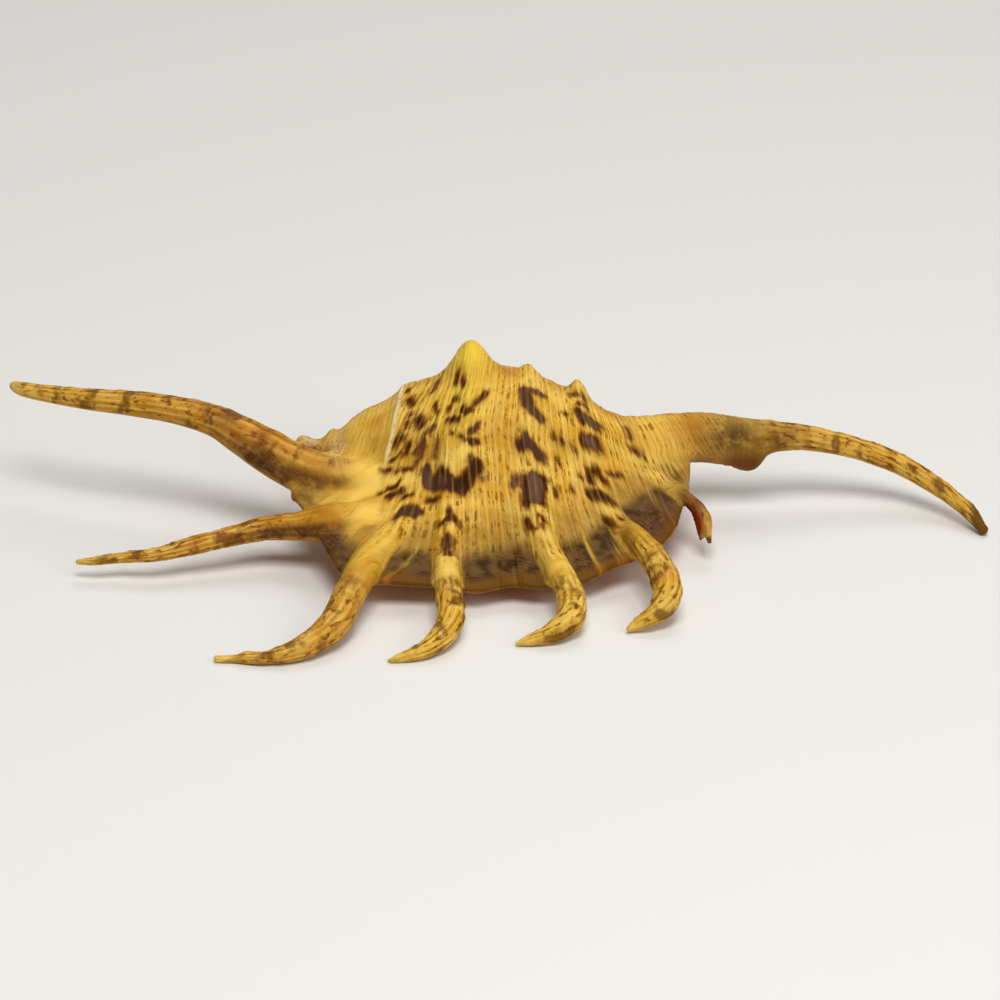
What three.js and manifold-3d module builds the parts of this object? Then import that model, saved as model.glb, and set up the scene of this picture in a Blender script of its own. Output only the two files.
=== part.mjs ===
// An orange spider conch shell lying on its opening, in millimetres, +Z up.
// The shell coils about a line along X: the point of the spire is at -X, the long front canal at +X,
// and the flared lip with its fingers spreads towards -Y. It is one grown piece, so it is one mesh.
import * as THREE from "three";
import { LoftGeometry } from "three/addons/geometries/LoftGeometry.js";
import { mergeVertices } from "three/addons/utils/BufferGeometryUtils.js";
import Module from "manifold-3d";

// Driving dimensions
const AXIS_HEIGHT = 12.5; // the coiling axis above the ground
const PLACE = new THREE.Vector3(0.47, 20, 0); // from the coiling axis to the middle of the shell's box
// Radius round the axis, as parts of the radius along the back, and the angle where it is widest
const WHORL = { mean: 0.955, swing: 0.08, widest: 30 };
// Drift of the seams along X as they go round, in mm, the angle where they lie foremost,
// and the stretches where the drift grows and fades
const SEAM = { reach: 2.1, foremost: -20, spire: [-33.7, -24], body: [-12, -4] };
const LIP_THICK = { root: 2.8, edge: 1.7 };
const LIP_SUNK = 0.2; // how deep the lip's root lies below the body's surface
const LIP_BY_SPIRE = 5; // how far from the axis the lip starts beside the thin spire
const LIP_EDGE_SLOPE = 12; // degrees below level, where the lip ends

// Radius of the body and spire along the back, without knobs: [x, radius]
const BACK = [
  [-33.7, 0.3], [-33.1, 1.2], [-32.2, 1.6], [-31.1, 1.2], [-30.1, 0.9], [-29.0, 1.2], [-27.6, 2.1],
  [-26.4, 2.5], [-25.4, 3.2], [-24.2, 4.4], [-23.0, 5.3], [-21.5, 6.1], [-19.8, 6.8], [-18.0, 7.8],
  [-16.6, 8.8], [-16.0, 9.7], [-13.2, 10.5], [-9.9, 11.5], [-7.4, 12.2], [-5.0, 12.8], [-2.5, 13.1],
  [0, 13.0], [2.5, 12.5], [5.0, 11.7], [7.5, 10.8], [10.0, 9.7], [12.7, 8.4], [14.9, 7.2], [17.3, 5.6],
  [19.8, 4.2], [22.3, 3.5], [27.0, 2.7],
];

// Ridges that run round the body with the coil: [x, height, half width]
const CORDS = [[-5.0, 0.5, 2.0], [4.7, 0.45, 1.5], [12.9, 0.45, 1.3]];

// Knobs: place along X, angle from the top towards the lip, height, and half widths along X and round
const KNOBS = [
  { x: -5.0, angle: -6, height: 4.25, long: 3.4, round: 3.8 },
  { x: 4.9, angle: -8, height: 1.1, long: 1.8, round: 2.8 },
  { x: 12.9, angle: -8, height: 2.0, long: 1.7, round: 2.8 },
  { x: -5.5, angle: -78, height: 2.0, long: 2.6, round: 3.6 },
  { x: -6.0, angle: -140, height: 1.3, long: 2.6, round: 3.6 },
  { x: 4.0, angle: -72, height: 1.0, long: 1.7, round: 2.6 },
  { x: 11.5, angle: -76, height: 1.0, long: 1.5, round: 2.4 },
  { x: 3.6, angle: -128, height: 0.8, long: 1.7, round: 2.6 },
  { x: -18.4, angle: -58, height: 0.9, long: 1.5, round: 1.8 },
  { x: -19.0, angle: -118, height: 0.8, long: 1.5, round: 1.8 },
  { x: -27.6, angle: -20, height: 0.5, long: 0.9, round: 1.2 },
  { x: -27.6, angle: 60, height: 0.5, long: 0.9, round: 1.2 },
  { x: -27.6, angle: -100, height: 0.5, long: 0.9, round: 1.2 },
  { x: -3.0, angle: 180, height: 0.5, long: 8.0, round: 9.0 }, // the callus that the shell rests on
];
// The big knob below the shoulder, where the lip leaves the body
const LIP_KNOB = { x: -6.8, part: 0.19, height: 2.7, long: 3.4, reach: 0.12 };

// The flared lip: [x, angle where it leaves the body, its slope there, edge y, edge z]
const LIP = [
  [-34.0, 90, 10, -13.8, 10.5], [-31.6, 95, 12, -17.4, 9.6], [-28.7, 96, 14, -24.2, 7.7],
  [-25.7, 95, 18, -31.8, 6.2], [-23.5, 92, 20, -34.4, 5.4], [-20.5, 86, 26, -34.2, 5.0],
  [-17.0, 74, 36, -33.9, 4.6], [-13.0, 60, 46, -33.9, 4.3], [-8.0, 54, 50, -34.2, 4.0],
  [-4.0, 52, 50, -34.9, 3.7], [2.0, 50, 50, -32.8, 3.7], [6.0, 50, 50, -33.6, 3.7],
  [9.5, 50, 50, -33.0, 3.8], [14.0, 50, 48, -31.6, 4.1], [18.0, 48, 44, -28.6, 4.8],
  [22.3, 44, 40, -26.0, 5.3], [25.8, 42, 38, -23.0, 6.0], [28.3, 42, 36, -18.2, 6.9],
  [29.4, 42, 40, -13.6, 7.8], [30.2, 42, 46, -9.4, 8.6], [31.0, 42, 52, -6.0, 9.6],
];

// Fingers along the lip, from the spire to the canal, as [x, y, z, radius] down the middle.
// A ridge leads to most of them, as [x, y, height above the lip, radius].
const FINGERS = [
  {
    free: [
      [-14.0, -8.4, 8.8, 2.0], [-19.0, -9.8, 9.6, 2.4], [-24.0, -10.6, 11.2, 2.8],
      [-28.4, -10.0, 11.4, 3.3], [-32.8, -8.6, 12.5, 3.35], [-37.3, -7.4, 14.6, 3.15],
      [-41.7, -5.9, 16.8, 2.7], [-46.3, -3.9, 18.6, 2.15], [-53.0, -1.4, 19.4, 1.8],
      [-59.6, 0.5, 19.6, 1.6], [-67.2, 2.7, 19.4, 1.3], [-74.0, 5.7, 19.0, 1.0], [-78.9, 8.6, 18.6, 0.75],
      [-80.3, 10.2, 18.4, 0.4],
    ],
  },
  {
    ridge: [[-14.5, -13.5, -0.3, 2.8], [-19.5, -17.6, 0.7, 3.3]],
    free: [
      [-26.4, -20.5, 8.3, 3.2], [-32.0, -20.2, 7.6, 2.35], [-37.7, -20.0, 7.0, 1.95],
      [-44.0, -21.7, 6.2, 1.6], [-50.3, -23.2, 5.2, 1.45], [-55.6, -24.3, 4.4, 1.1],
      [-61.0, -24.0, 3.8, 0.9], [-64.7, -24.3, 3.4, 0.7], [-67.5, -23.8, 3.0, 0.45],
    ],
  },
  {
    ridge: [[-12.0, -13.5, -0.3, 2.5], [-15.2, -20.0, 0.9, 2.4], [-19.8, -28.0, 2.0, 2.4]],
    free: [
      [-22.3, -36.2, 6.1, 2.5], [-24.1, -41.3, 4.9, 2.5], [-25.4, -45.6, 3.7, 2.45],
      [-28.2, -49.4, 2.6, 2.15], [-31.9, -52.0, 1.8, 1.6], [-36.5, -52.9, 1.15, 1.0],
      [-39.2, -52.6, 1.05, 0.95], [-41.0, -52.4, 0.75, 0.6], [-43.6, -52.2, 0.65, 0.6],
    ],
  },
  {
    ridge: [[-8.0, -15.0, -0.3, 2.0], [-8.5, -20.6, 0.9, 1.95], [-8.5, -27.5, 1.9, 1.95]],
    free: [
      [-8.3, -34.1, 5.9, 2.0], [-8.0, -38.8, 4.9, 2.15], [-7.6, -42.2, 3.9, 2.15],
      [-7.9, -45.3, 3.0, 2.1], [-9.3, -48.3, 2.2, 1.85], [-11.7, -50.8, 1.4, 1.35],
      [-14.6, -51.9, 0.9, 0.9], [-17.0, -52.6, 0.5, 0.35],
    ],
  },
  {
    ridge: [[4.9, -13.5, -0.1, 1.8], [6.0, -20.0, 1.0, 1.95], [7.6, -27.0, 1.9, 1.95]],
    free: [
      [9.3, -33.0, 6.1, 2.05], [10.7, -37.3, 4.9, 2.25], [11.3, -40.3, 3.8, 2.3], [10.8, -43.4, 2.8, 2.15],
      [8.7, -45.4, 1.9, 1.75], [5.7, -46.5, 1.2, 1.15], [2.5, -47.1, 0.5, 0.35],
    ],
  },
  {
    ridge: [[14.0, -11.5, -0.1, 1.6], [16.6, -15.8, 0.6, 1.75], [19.2, -19.4, 1.0, 1.8]],
    free: [
      [21.3, -23.2, 7.4, 1.85], [24.0, -29.6, 7.1, 2.1], [25.7, -34.8, 6.1, 2.35],
      [26.3, -38.2, 4.6, 2.3], [25.2, -40.5, 3.3, 1.95], [23.1, -41.7, 2.1, 1.35],
      [21.4, -42.2, 1.3, 1.0], [20.0, -42.8, 0.8, 0.45],
    ],
  },
  {
    ridge: [[22.6, -6.8, -0.3, 1.4], [25.8, -9.0, 0.6, 1.3]],
    free: [
      [28.8, -10.9, 9.1, 1.2], [30.4, -12.8, 8.7, 1.1], [31.8, -14.1, 7.8, 1.2], [32.7, -15.5, 6.5, 1.35],
      [33.0, -16.7, 5.5, 1.2],
    ],
  },
];
const FORK = [
  [[32.3, -16.2, 5.9, 0.85], [32.3, -18.0, 4.3, 0.35]], [[33.3, -16.3, 5.9, 0.85], [33.7, -18.8, 3.9, 0.35]],
];

// The front canal down its middle: [x, y, z, radius, depth below the middle]
const CANAL = [
  [15.5, 0.2, 12.2, 5.1, 5.1], [19.5, 0.5, 12.3, 4.4, 4.3], [23.0, 0.8, 12.6, 4.2, 4.2],
  [27.0, 1.2, 13.0, 4.1, 4.3], [30.8, 1.8, 13.3, 3.85, 4.6], [34.5, 2.2, 13.5, 3.4, 5.2],
  [38.6, 2.4, 13.3, 2.9, 6.0], [41.8, 2.5, 12.9, 2.8, 6.4], [44.0, 2.7, 12.8, 2.65, 3.6],
  [46.0, 3.0, 12.5, 2.45, 2.45], [50.3, 3.9, 11.9, 2.1, 2.1], [56.1, 4.1, 10.6, 1.85, 1.85],
  [61.1, 3.9, 9.2, 1.8, 1.8], [66.0, 3.0, 7.5, 1.75, 1.75], [70.0, 0.9, 5.9, 1.6, 1.6],
  [73.9, -1.9, 4.2, 1.4, 1.4], [77.1, -5.4, 2.6, 1.2, 1.2], [79.0, -8.2, 1.0, 0.8, 0.8],
];

// The hollow of the last turn and the clear space below the lip:
// [x, wall, core's part of the inner radius, inner lip y, part of the lip that it follows]
const HOLLOW = [
  [-19.0, 2.6, 0.93, -6.6, 0.25], [-16.0, 2.2, 0.8, -6.2, 0.6], [-13.0, 2.1, 0.73, -6.1, 0.92],
  [-10.0, 2.0, 0.7, -6.0, 0.95], [-4.0, 1.9, 0.62, -5.6, 0.95], [4.0, 1.8, 0.58, -5.0, 0.95],
  [11.0, 1.7, 0.5, -3.8, 0.95], [17.0, 1.6, 0.4, -2.2, 0.95], [22.0, 1.5, 0.35, -1.2, 0.95],
  [27.0, 1.5, 0.35, -0.6, 0.9], [30.6, 1.6, 0.35, -0.2, 0.8],
];
const HOLLOW_DEEP = -40; // degrees past the top, where the hollow ends
const UNDER_LIP = 0.25; // how far below the lip's face the clear space stays
// The groove under the canal: shares of the canal's length, and half widths
const GROOVE = { from: 0.2, to: 0.88, wide: 1.2, narrow: 0.4 };

const DEGREE = Math.PI / 180;
const wasm = await Module();
wasm.setup();

// A smooth curve through a table's rows, read at x.
function tableAt(table, x, column = 1) {
  const last = table.length - 1;
  const i = x >= table[last][0] ? last - 1 : Math.max(0, table.findIndex((row) => row[0] > x) - 1);
  const slope = (j) => {
    const [a, b] = [table[Math.max(0, j - 1)], table[Math.min(last, j + 1)]];
    return (b[column] - a[column]) / (b[0] - a[0]);
  };
  const [p, q] = [table[i], table[i + 1]];
  const width = q[0] - p[0];
  const t = THREE.MathUtils.clamp((x - p[0]) / width, 0, 1);
  const [t2, t3] = [t * t, t * t * t];
  return (2 * t3 - 3 * t2 + 1) * p[column] + (t3 - 2 * t2 + t) * width * slope(i)
    + (3 * t2 - 2 * t3) * q[column] + (t3 - t2) * width * slope(i + 1);
}

// A smooth bump of height 1 at the middle.
function bump(...offsets) {
  return Math.exp(-offsets.reduce((sum, offset) => sum + offset * offset, 0));
}

// A bump of height 1 at the middle, blunt at its top.
function bluntBump(...offsets) {
  return Math.exp(-(offsets.reduce((sum, offset) => sum + offset * offset, 0) ** 1.3));
}

// Body and spire: a radius about the axis for each place along X and each angle from the top.
function bodyRadius(x, angle) {
  const [grows, fades] = [SEAM.spire, SEAM.body].map((stretch) => THREE.MathUtils.smoothstep(x, ...stretch));
  const drift = grows * (1 - fades) * SEAM.reach * (1 - Math.cos((angle - SEAM.foremost) * DEGREE));
  const swing = WHORL.swing * Math.cos((angle - WHORL.widest) * DEGREE);
  const plain = tableAt(BACK, x + drift) * (WHORL.mean + swing);
  const cords = CORDS.reduce((sum, [at, height, half]) => sum + height * bump((x - at) / half), 0);
  const knobs = KNOBS.reduce((sum, knob) => {
    const turn = THREE.MathUtils.euclideanModulo(angle - knob.angle + 180, 360) - 180;
    return sum + knob.height * bluntBump((x - knob.x) / knob.long, (turn * DEGREE * plain) / knob.round);
  }, 0);
  return plain + cords + knobs;
}

// A point about the coiling axis.
function aboutAxis(x, angle, radius) {
  const [across, up] = [-radius * Math.sin(angle * DEGREE), radius * Math.cos(angle * DEGREE)];
  return new THREE.Vector3(x, across, AXIS_HEIGHT + up);
}

function bodyAndSpire() {
  const around = 42;
  const front = 20.5; // where the body runs into the canal
  const xs = [front];
  for (let x = BACK[0][0]; x < front - 1; x += x < SEAM.spire[1] ? 1.1 : 1.45) xs.splice(-1, 0, x);
  const sections = xs.map((x) =>
    Array.from({ length: around }, (_, i) => {
      const angle = (360 * i) / around - 180;
      return aboutAxis(x, angle, bodyRadius(x, angle));
    }),
  );
  return new LoftGeometry(sections, { capStart: true, capEnd: true });
}

// The lip's middle surface: part 0 is where it leaves the body, part 1 its edge.
function lipPoint(x, part) {
  const angle = tableAt(LIP, x, 1);
  const inside = bodyRadius(x, angle) - LIP_THICK.root / 2 - LIP_SUNK;
  const root = aboutAxis(x, angle, x < 0 ? Math.max(inside, LIP_BY_SPIRE) : inside);
  const edge = new THREE.Vector3(x, tableAt(LIP, x, 3), tableAt(LIP, x, 4));
  const reach = root.distanceTo(edge);
  const away = (slope) =>
    new THREE.Vector3(0, -Math.cos(slope * DEGREE), -Math.sin(slope * DEGREE)).multiplyScalar(reach);
  const [t, t2, t3] = [part, part ** 2, part ** 3];
  return root.multiplyScalar(2 * t3 - 3 * t2 + 1)
    .addScaledVector(away(tableAt(LIP, x, 2)), t3 - 2 * t2 + t)
    .addScaledVector(edge, 3 * t2 - 2 * t3)
    .addScaledVector(away(LIP_EDGE_SLOPE), t3 - t2);
}

// A point on the lip's upper (side 1) or lower (side -1) face.
function lipFace(x, part, side) {
  const step = 0.01;
  const run = lipPoint(x, part + step).sub(lipPoint(x, part - step)).normalize();
  const half = THREE.MathUtils.lerp(LIP_THICK.root, LIP_THICK.edge, part) / 2;
  const knob = bump((x - LIP_KNOB.x) / LIP_KNOB.long, (part - LIP_KNOB.part) / LIP_KNOB.reach);
  const out = side > 0 ? half + LIP_KNOB.height * knob : -half;
  return lipPoint(x, part).addScaledVector(new THREE.Vector3(0, run.z, -run.y), out);
}

// How high the lip's upper face is over a place in plan.
function lipTop(x, y) {
  let [near, far] = [0, 1];
  for (let i = 0; i < 24; i++) {
    const middle = (near + far) / 2;
    if (lipFace(x, middle, 1).y > y) near = middle;
    else far = middle;
  }
  return lipFace(x, near, 1).z;
}

function flaredLip() {
  const stations = 33;
  const roundOut = LIP_THICK.edge * 0.35;
  const upper = [0, 0.1, 0.2, 0.3, 0.45, 0.6, 0.8, 1];
  const lower = [1, 0.75, 0.5, 0.25, 0];
  const sections = Array.from({ length: stations }, (_, i) => {
    const x = THREE.MathUtils.lerp(LIP[0][0], LIP[LIP.length - 1][0], i / (stations - 1));
    const out = lipPoint(x, 1).sub(lipPoint(x, 0.97)).setLength(roundOut);
    return [
      ...upper.map((part) => lipFace(x, part, 1)),
      lipPoint(x, 1).add(out),
      ...lower.map((part) => lipFace(x, part, -1)),
    ];
  });
  return new LoftGeometry(sections, { capStart: true, capEnd: true });
}

function curveThrough(rows) {
  const points = rows.map(([x, y, z]) => new THREE.Vector3(x, y, z));
  return new THREE.CatmullRomCurve3(points, false, "centripetal");
}

// A round tapering limb down the middle of the rows [x, y, z, radius, depth below].
function limb(rows, sides, steps) {
  const middle = curveThrough(rows);
  const shares = rows.map((row, i) => [i / (rows.length - 1), row[3], row[4] ?? row[3]]);
  const sections = Array.from({ length: steps + 1 }, (_, i) => {
    const t = i / steps;
    const [centre, along] = [middle.getPoint(t), middle.getTangent(t)];
    const side = new THREE.Vector3(0, 0, 1).cross(along).normalize();
    const up = along.clone().cross(side);
    return Array.from({ length: sides }, (_, k) => {
      const turn = (2 * Math.PI * k) / sides;
      const tall = tableAt(shares, t, Math.sin(turn) < 0 ? 2 : 1);
      return centre.clone()
        .addScaledVector(side, tableAt(shares, t) * Math.cos(turn))
        .addScaledVector(up, tall * Math.sin(turn));
    });
  });
  return new LoftGeometry(sections, { capStart: true, capEnd: true });
}

function finger({ ridge = [], free }) {
  const step = 0.5;
  const onLip = ridge.map(([x, y, proud, radius]) => {
    const steepness = Math.hypot(1, (lipTop(x, y + step) - lipTop(x, y - step)) / (2 * step));
    return [x, y, lipTop(x, y) - (radius - proud) * steepness, radius];
  });
  const rows = [...onLip, ...free];
  return limb(rows, 8, Math.round(rows.length * 1.6));
}

// The hollow inside the last turn, open below between the inner lip and the flared lip.
function hollow() {
  const arc = 8;
  const innerFrom = 118; // degrees past the top, where the inner lip begins
  const below = -3;
  const xs = [];
  for (let x = HOLLOW[0][0]; x <= HOLLOW[HOLLOW.length - 1][0]; x += 2.8) xs.push(x);
  const sections = xs.map((x) => {
    const [wall, core, innerLip, follow] = [1, 2, 3, 4].map((column) => tableAt(HOLLOW, x, column));
    const leaves = tableAt(LIP, x, 1);
    const outer = Array.from({ length: arc }, (_, i) => {
      const angle = THREE.MathUtils.lerp(HOLLOW_DEEP, leaves, i / arc);
      return aboutAxis(x, angle, bodyRadius(x, angle) - wall);
    });
    const under = [0.05, 0.2, 0.4, 0.6, 0.8, 1].map((share) => {
      const face = lipFace(x, share * follow, -1);
      return face.setZ(face.z - UNDER_LIP);
    });
    const inner = Array.from({ length: arc }, (_, i) => {
      const angle = THREE.MathUtils.lerp(innerFrom, HOLLOW_DEEP, i / (arc - 1));
      return aboutAxis(x, angle, core * (bodyRadius(x, Math.min(angle, leaves)) - wall));
    });
    const foot = [under[under.length - 1].y, innerLip].map((y) => new THREE.Vector3(x, y, below));
    return [...outer, ...under, ...foot, ...inner];
  });
  return new LoftGeometry(sections, { capStart: true, capEnd: true });
}

// The narrow groove under the canal.
function canalGroove() {
  const path = curveThrough(CANAL);
  const steps = 24;
  const outline = [[-1, 0.5], [0, 1.2], [1, 0.5], [1.3, -12], [-1.3, -12]]; // across and up, in half widths
  const sections = Array.from({ length: steps + 1 }, (_, i) => {
    const t = THREE.MathUtils.lerp(GROOVE.from, GROOVE.to, i / steps);
    const half = THREE.MathUtils.lerp(GROOVE.wide, GROOVE.narrow, i / steps);
    const side = new THREE.Vector3(0, 0, 1).cross(path.getTangent(t)).normalize();
    return outline.map(([across, up]) =>
      path.getPoint(t).addScaledVector(side, across * half).add(new THREE.Vector3(0, 0, up * half)),
    ).reverse();
  });
  return new LoftGeometry(sections, { capStart: true, capEnd: true });
}

// three.js geometry to a manifold-3d solid, and back.
function solid(geometry) {
  const bare = new THREE.BufferGeometry().setAttribute("position", geometry.getAttribute("position"));
  const merged = mergeVertices(bare.setIndex(geometry.index), 1e-4);
  return new wasm.Manifold(new wasm.Mesh({
    numProp: 3,
    vertProperties: merged.attributes.position.array,
    triVerts: new Uint32Array(merged.index.array),
  }));
}

function geometryOf(made) {
  const mesh = made.getMesh();
  const geometry = new THREE.BufferGeometry()
    .setAttribute("position", new THREE.BufferAttribute(mesh.vertProperties, mesh.numProp))
    .setIndex(new THREE.BufferAttribute(mesh.triVerts, 1));
  geometry.computeVertexNormals();
  return geometry;
}

function shell() {
  const grown = [
    flaredLip(),
    ...FINGERS.map(finger),
    ...FORK.map((rows) => limb(rows, 6, 2)),
    limb(CANAL, 10, 30),
  ].map(solid);
  const whole = grown.reduce((sum, piece) => sum.add(piece), solid(bodyAndSpire()));
  return whole.subtract(solid(hollow())).subtract(solid(canalGroove()));
}

const spiderConch = new THREE.Group();
const mesh = new THREE.Mesh(
  geometryOf(shell()),
  new THREE.MeshStandardMaterial({ color: "#d39a3a", roughness: 0.38, metalness: 0 }),
);
mesh.name = "shell";
mesh.position.copy(PLACE);
spiderConch.add(mesh);

export default spiderConch;
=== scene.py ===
"""An orange spider conch shell: its fine surface and its finish, with the light and the camera.

Lengths are millimetres about the line that the shell coils round. A mesh has them in metres.
"""

from __future__ import annotations

import logging
import math
from dataclasses import dataclass, field
from enum import Enum

import bpy
import numpy as np
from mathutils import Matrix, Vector

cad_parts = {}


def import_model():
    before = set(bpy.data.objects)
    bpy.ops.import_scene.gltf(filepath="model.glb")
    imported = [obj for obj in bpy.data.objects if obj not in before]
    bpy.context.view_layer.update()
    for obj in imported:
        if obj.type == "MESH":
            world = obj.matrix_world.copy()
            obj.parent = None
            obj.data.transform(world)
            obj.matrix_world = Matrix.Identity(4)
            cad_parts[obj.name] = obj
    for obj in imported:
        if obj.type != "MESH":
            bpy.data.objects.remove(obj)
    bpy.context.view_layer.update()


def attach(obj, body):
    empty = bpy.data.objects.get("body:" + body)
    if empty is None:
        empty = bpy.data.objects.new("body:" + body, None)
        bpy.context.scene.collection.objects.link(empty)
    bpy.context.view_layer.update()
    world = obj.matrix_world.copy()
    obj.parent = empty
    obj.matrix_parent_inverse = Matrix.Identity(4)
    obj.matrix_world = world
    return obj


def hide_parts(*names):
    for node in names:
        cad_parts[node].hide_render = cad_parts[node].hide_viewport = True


LOG = logging.getLogger("shell")
MM = 0.001
PLACE = np.array([0.47, 20.0, 0.0])  # from the coiling line to the middle of the shell's box
AXIS_HEIGHT = 12.5  # the coiling line above the ground
FAR = 50.0  # the distance given to points that are out of reach
Array = np.ndarray
Rows = list[list[float]]
Span = tuple[float, float]
Route = tuple[Span, ...]


def smoothstep(value: Array, low: float, high: float) -> Array:
    """Rises smoothly from 0 at low to 1 at high.

    Args:
        value: what is read.
        low: where the rise starts.
        high: where it ends. It may be below low, for a fall.

    Returns:
        The share, from 0 to 1.
    """
    share = np.clip((value - low) / (high - low), 0, 1)
    return share * share * (3 - 2 * share)


def smooth_min(one: Array, other: Array, web: float) -> Array:
    """Joins two distances with a rounded web.

    Args:
        one: distance to one form.
        other: distance to the other.
        web: how wide the rounding reaches.

    Returns:
        Distance to both together.
    """
    share = np.clip(0.5 + 0.5 * (other - one) / web, 0, 1)
    return other + (one - other) * share - web * share * (1 - share)


def smooth_max(form: Array, outside: Array, web: float) -> Array:
    """Cuts a form, given by the distance to it, by another, given by the distance to its outside."""
    return -smooth_min(-form, -outside, web)


def bump(*offsets: Array) -> Array:
    """Returns a smooth bump, 1 where every offset is 0."""
    return np.exp(-sum(offset * offset for offset in offsets))


def blunt_bump(*offsets: Array) -> Array:
    """Returns a bump, 1 where every offset is 0, that is blunt at its top."""
    return np.exp(-sum(offset * offset for offset in offsets) ** 1.3)


def smooth_run(ends: tuple[Array, ...], t: Array) -> Array:
    """Reads a smooth stretch between two values.

    Args:
        ends: the first value and the slope there, the last value and the slope there.
        t: how far along, from 0 to 1.

    Returns:
        The values there.
    """
    first, leave, last, arrive = ends
    t2 = t * t
    t3 = t2 * t
    start = first * (2 * t3 - 3 * t2 + 1) + leave * (t3 - 2 * t2 + t)
    return start + last * (3 * t2 - 2 * t3) + arrive * (t3 - t2)


def batches(items: Array, size: int) -> list[Array]:
    """Cuts many points, or their numbers, into batches of a size."""
    return [items[start:start + size] for start in range(0, len(items), size)]


class Table:
    """A smooth curve through rows of [x, value, ...], level past both ends."""

    def __init__(self, rows: Rows) -> None:
        """Works out the slopes at the rows.

        Args:
            rows: the rows, sorted by x.
        """
        data = np.array(rows, float)
        self.x = data[:, 0]
        self.values = data[:, 1:]
        count = len(data)
        ahead = np.minimum(np.arange(count) + 1, count - 1)
        behind = np.maximum(np.arange(count) - 1, 0)
        run = (self.x[ahead] - self.x[behind])[:, None]
        self.slopes = (self.values[ahead] - self.values[behind]) / run

    def __call__(self, x: Array, column: int = 0) -> Array:
        """Reads one column.

        Args:
            x: where to read.
            column: which value, counted after x.

        Returns:
            The values, in the shape of x.
        """
        x = np.asarray(x, float)
        i = np.clip(np.searchsorted(self.x, x, side="right") - 1, 0, len(self.x) - 2)
        width = self.x[i + 1] - self.x[i]
        t = np.clip((x - self.x[i]) / width, 0, 1)
        low, high = self.values[i, column], self.values[i + 1, column]
        leave, arrive = self.slopes[i, column] * width, self.slopes[i + 1, column] * width
        return smooth_run((low, leave, high, arrive), t)


@dataclass(frozen=True)
class Knob:
    """A knob: its place along x, its angle from the top towards the lip, and its height and half widths."""

    x: float
    angle: float
    height: float
    long: float
    round: float


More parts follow.
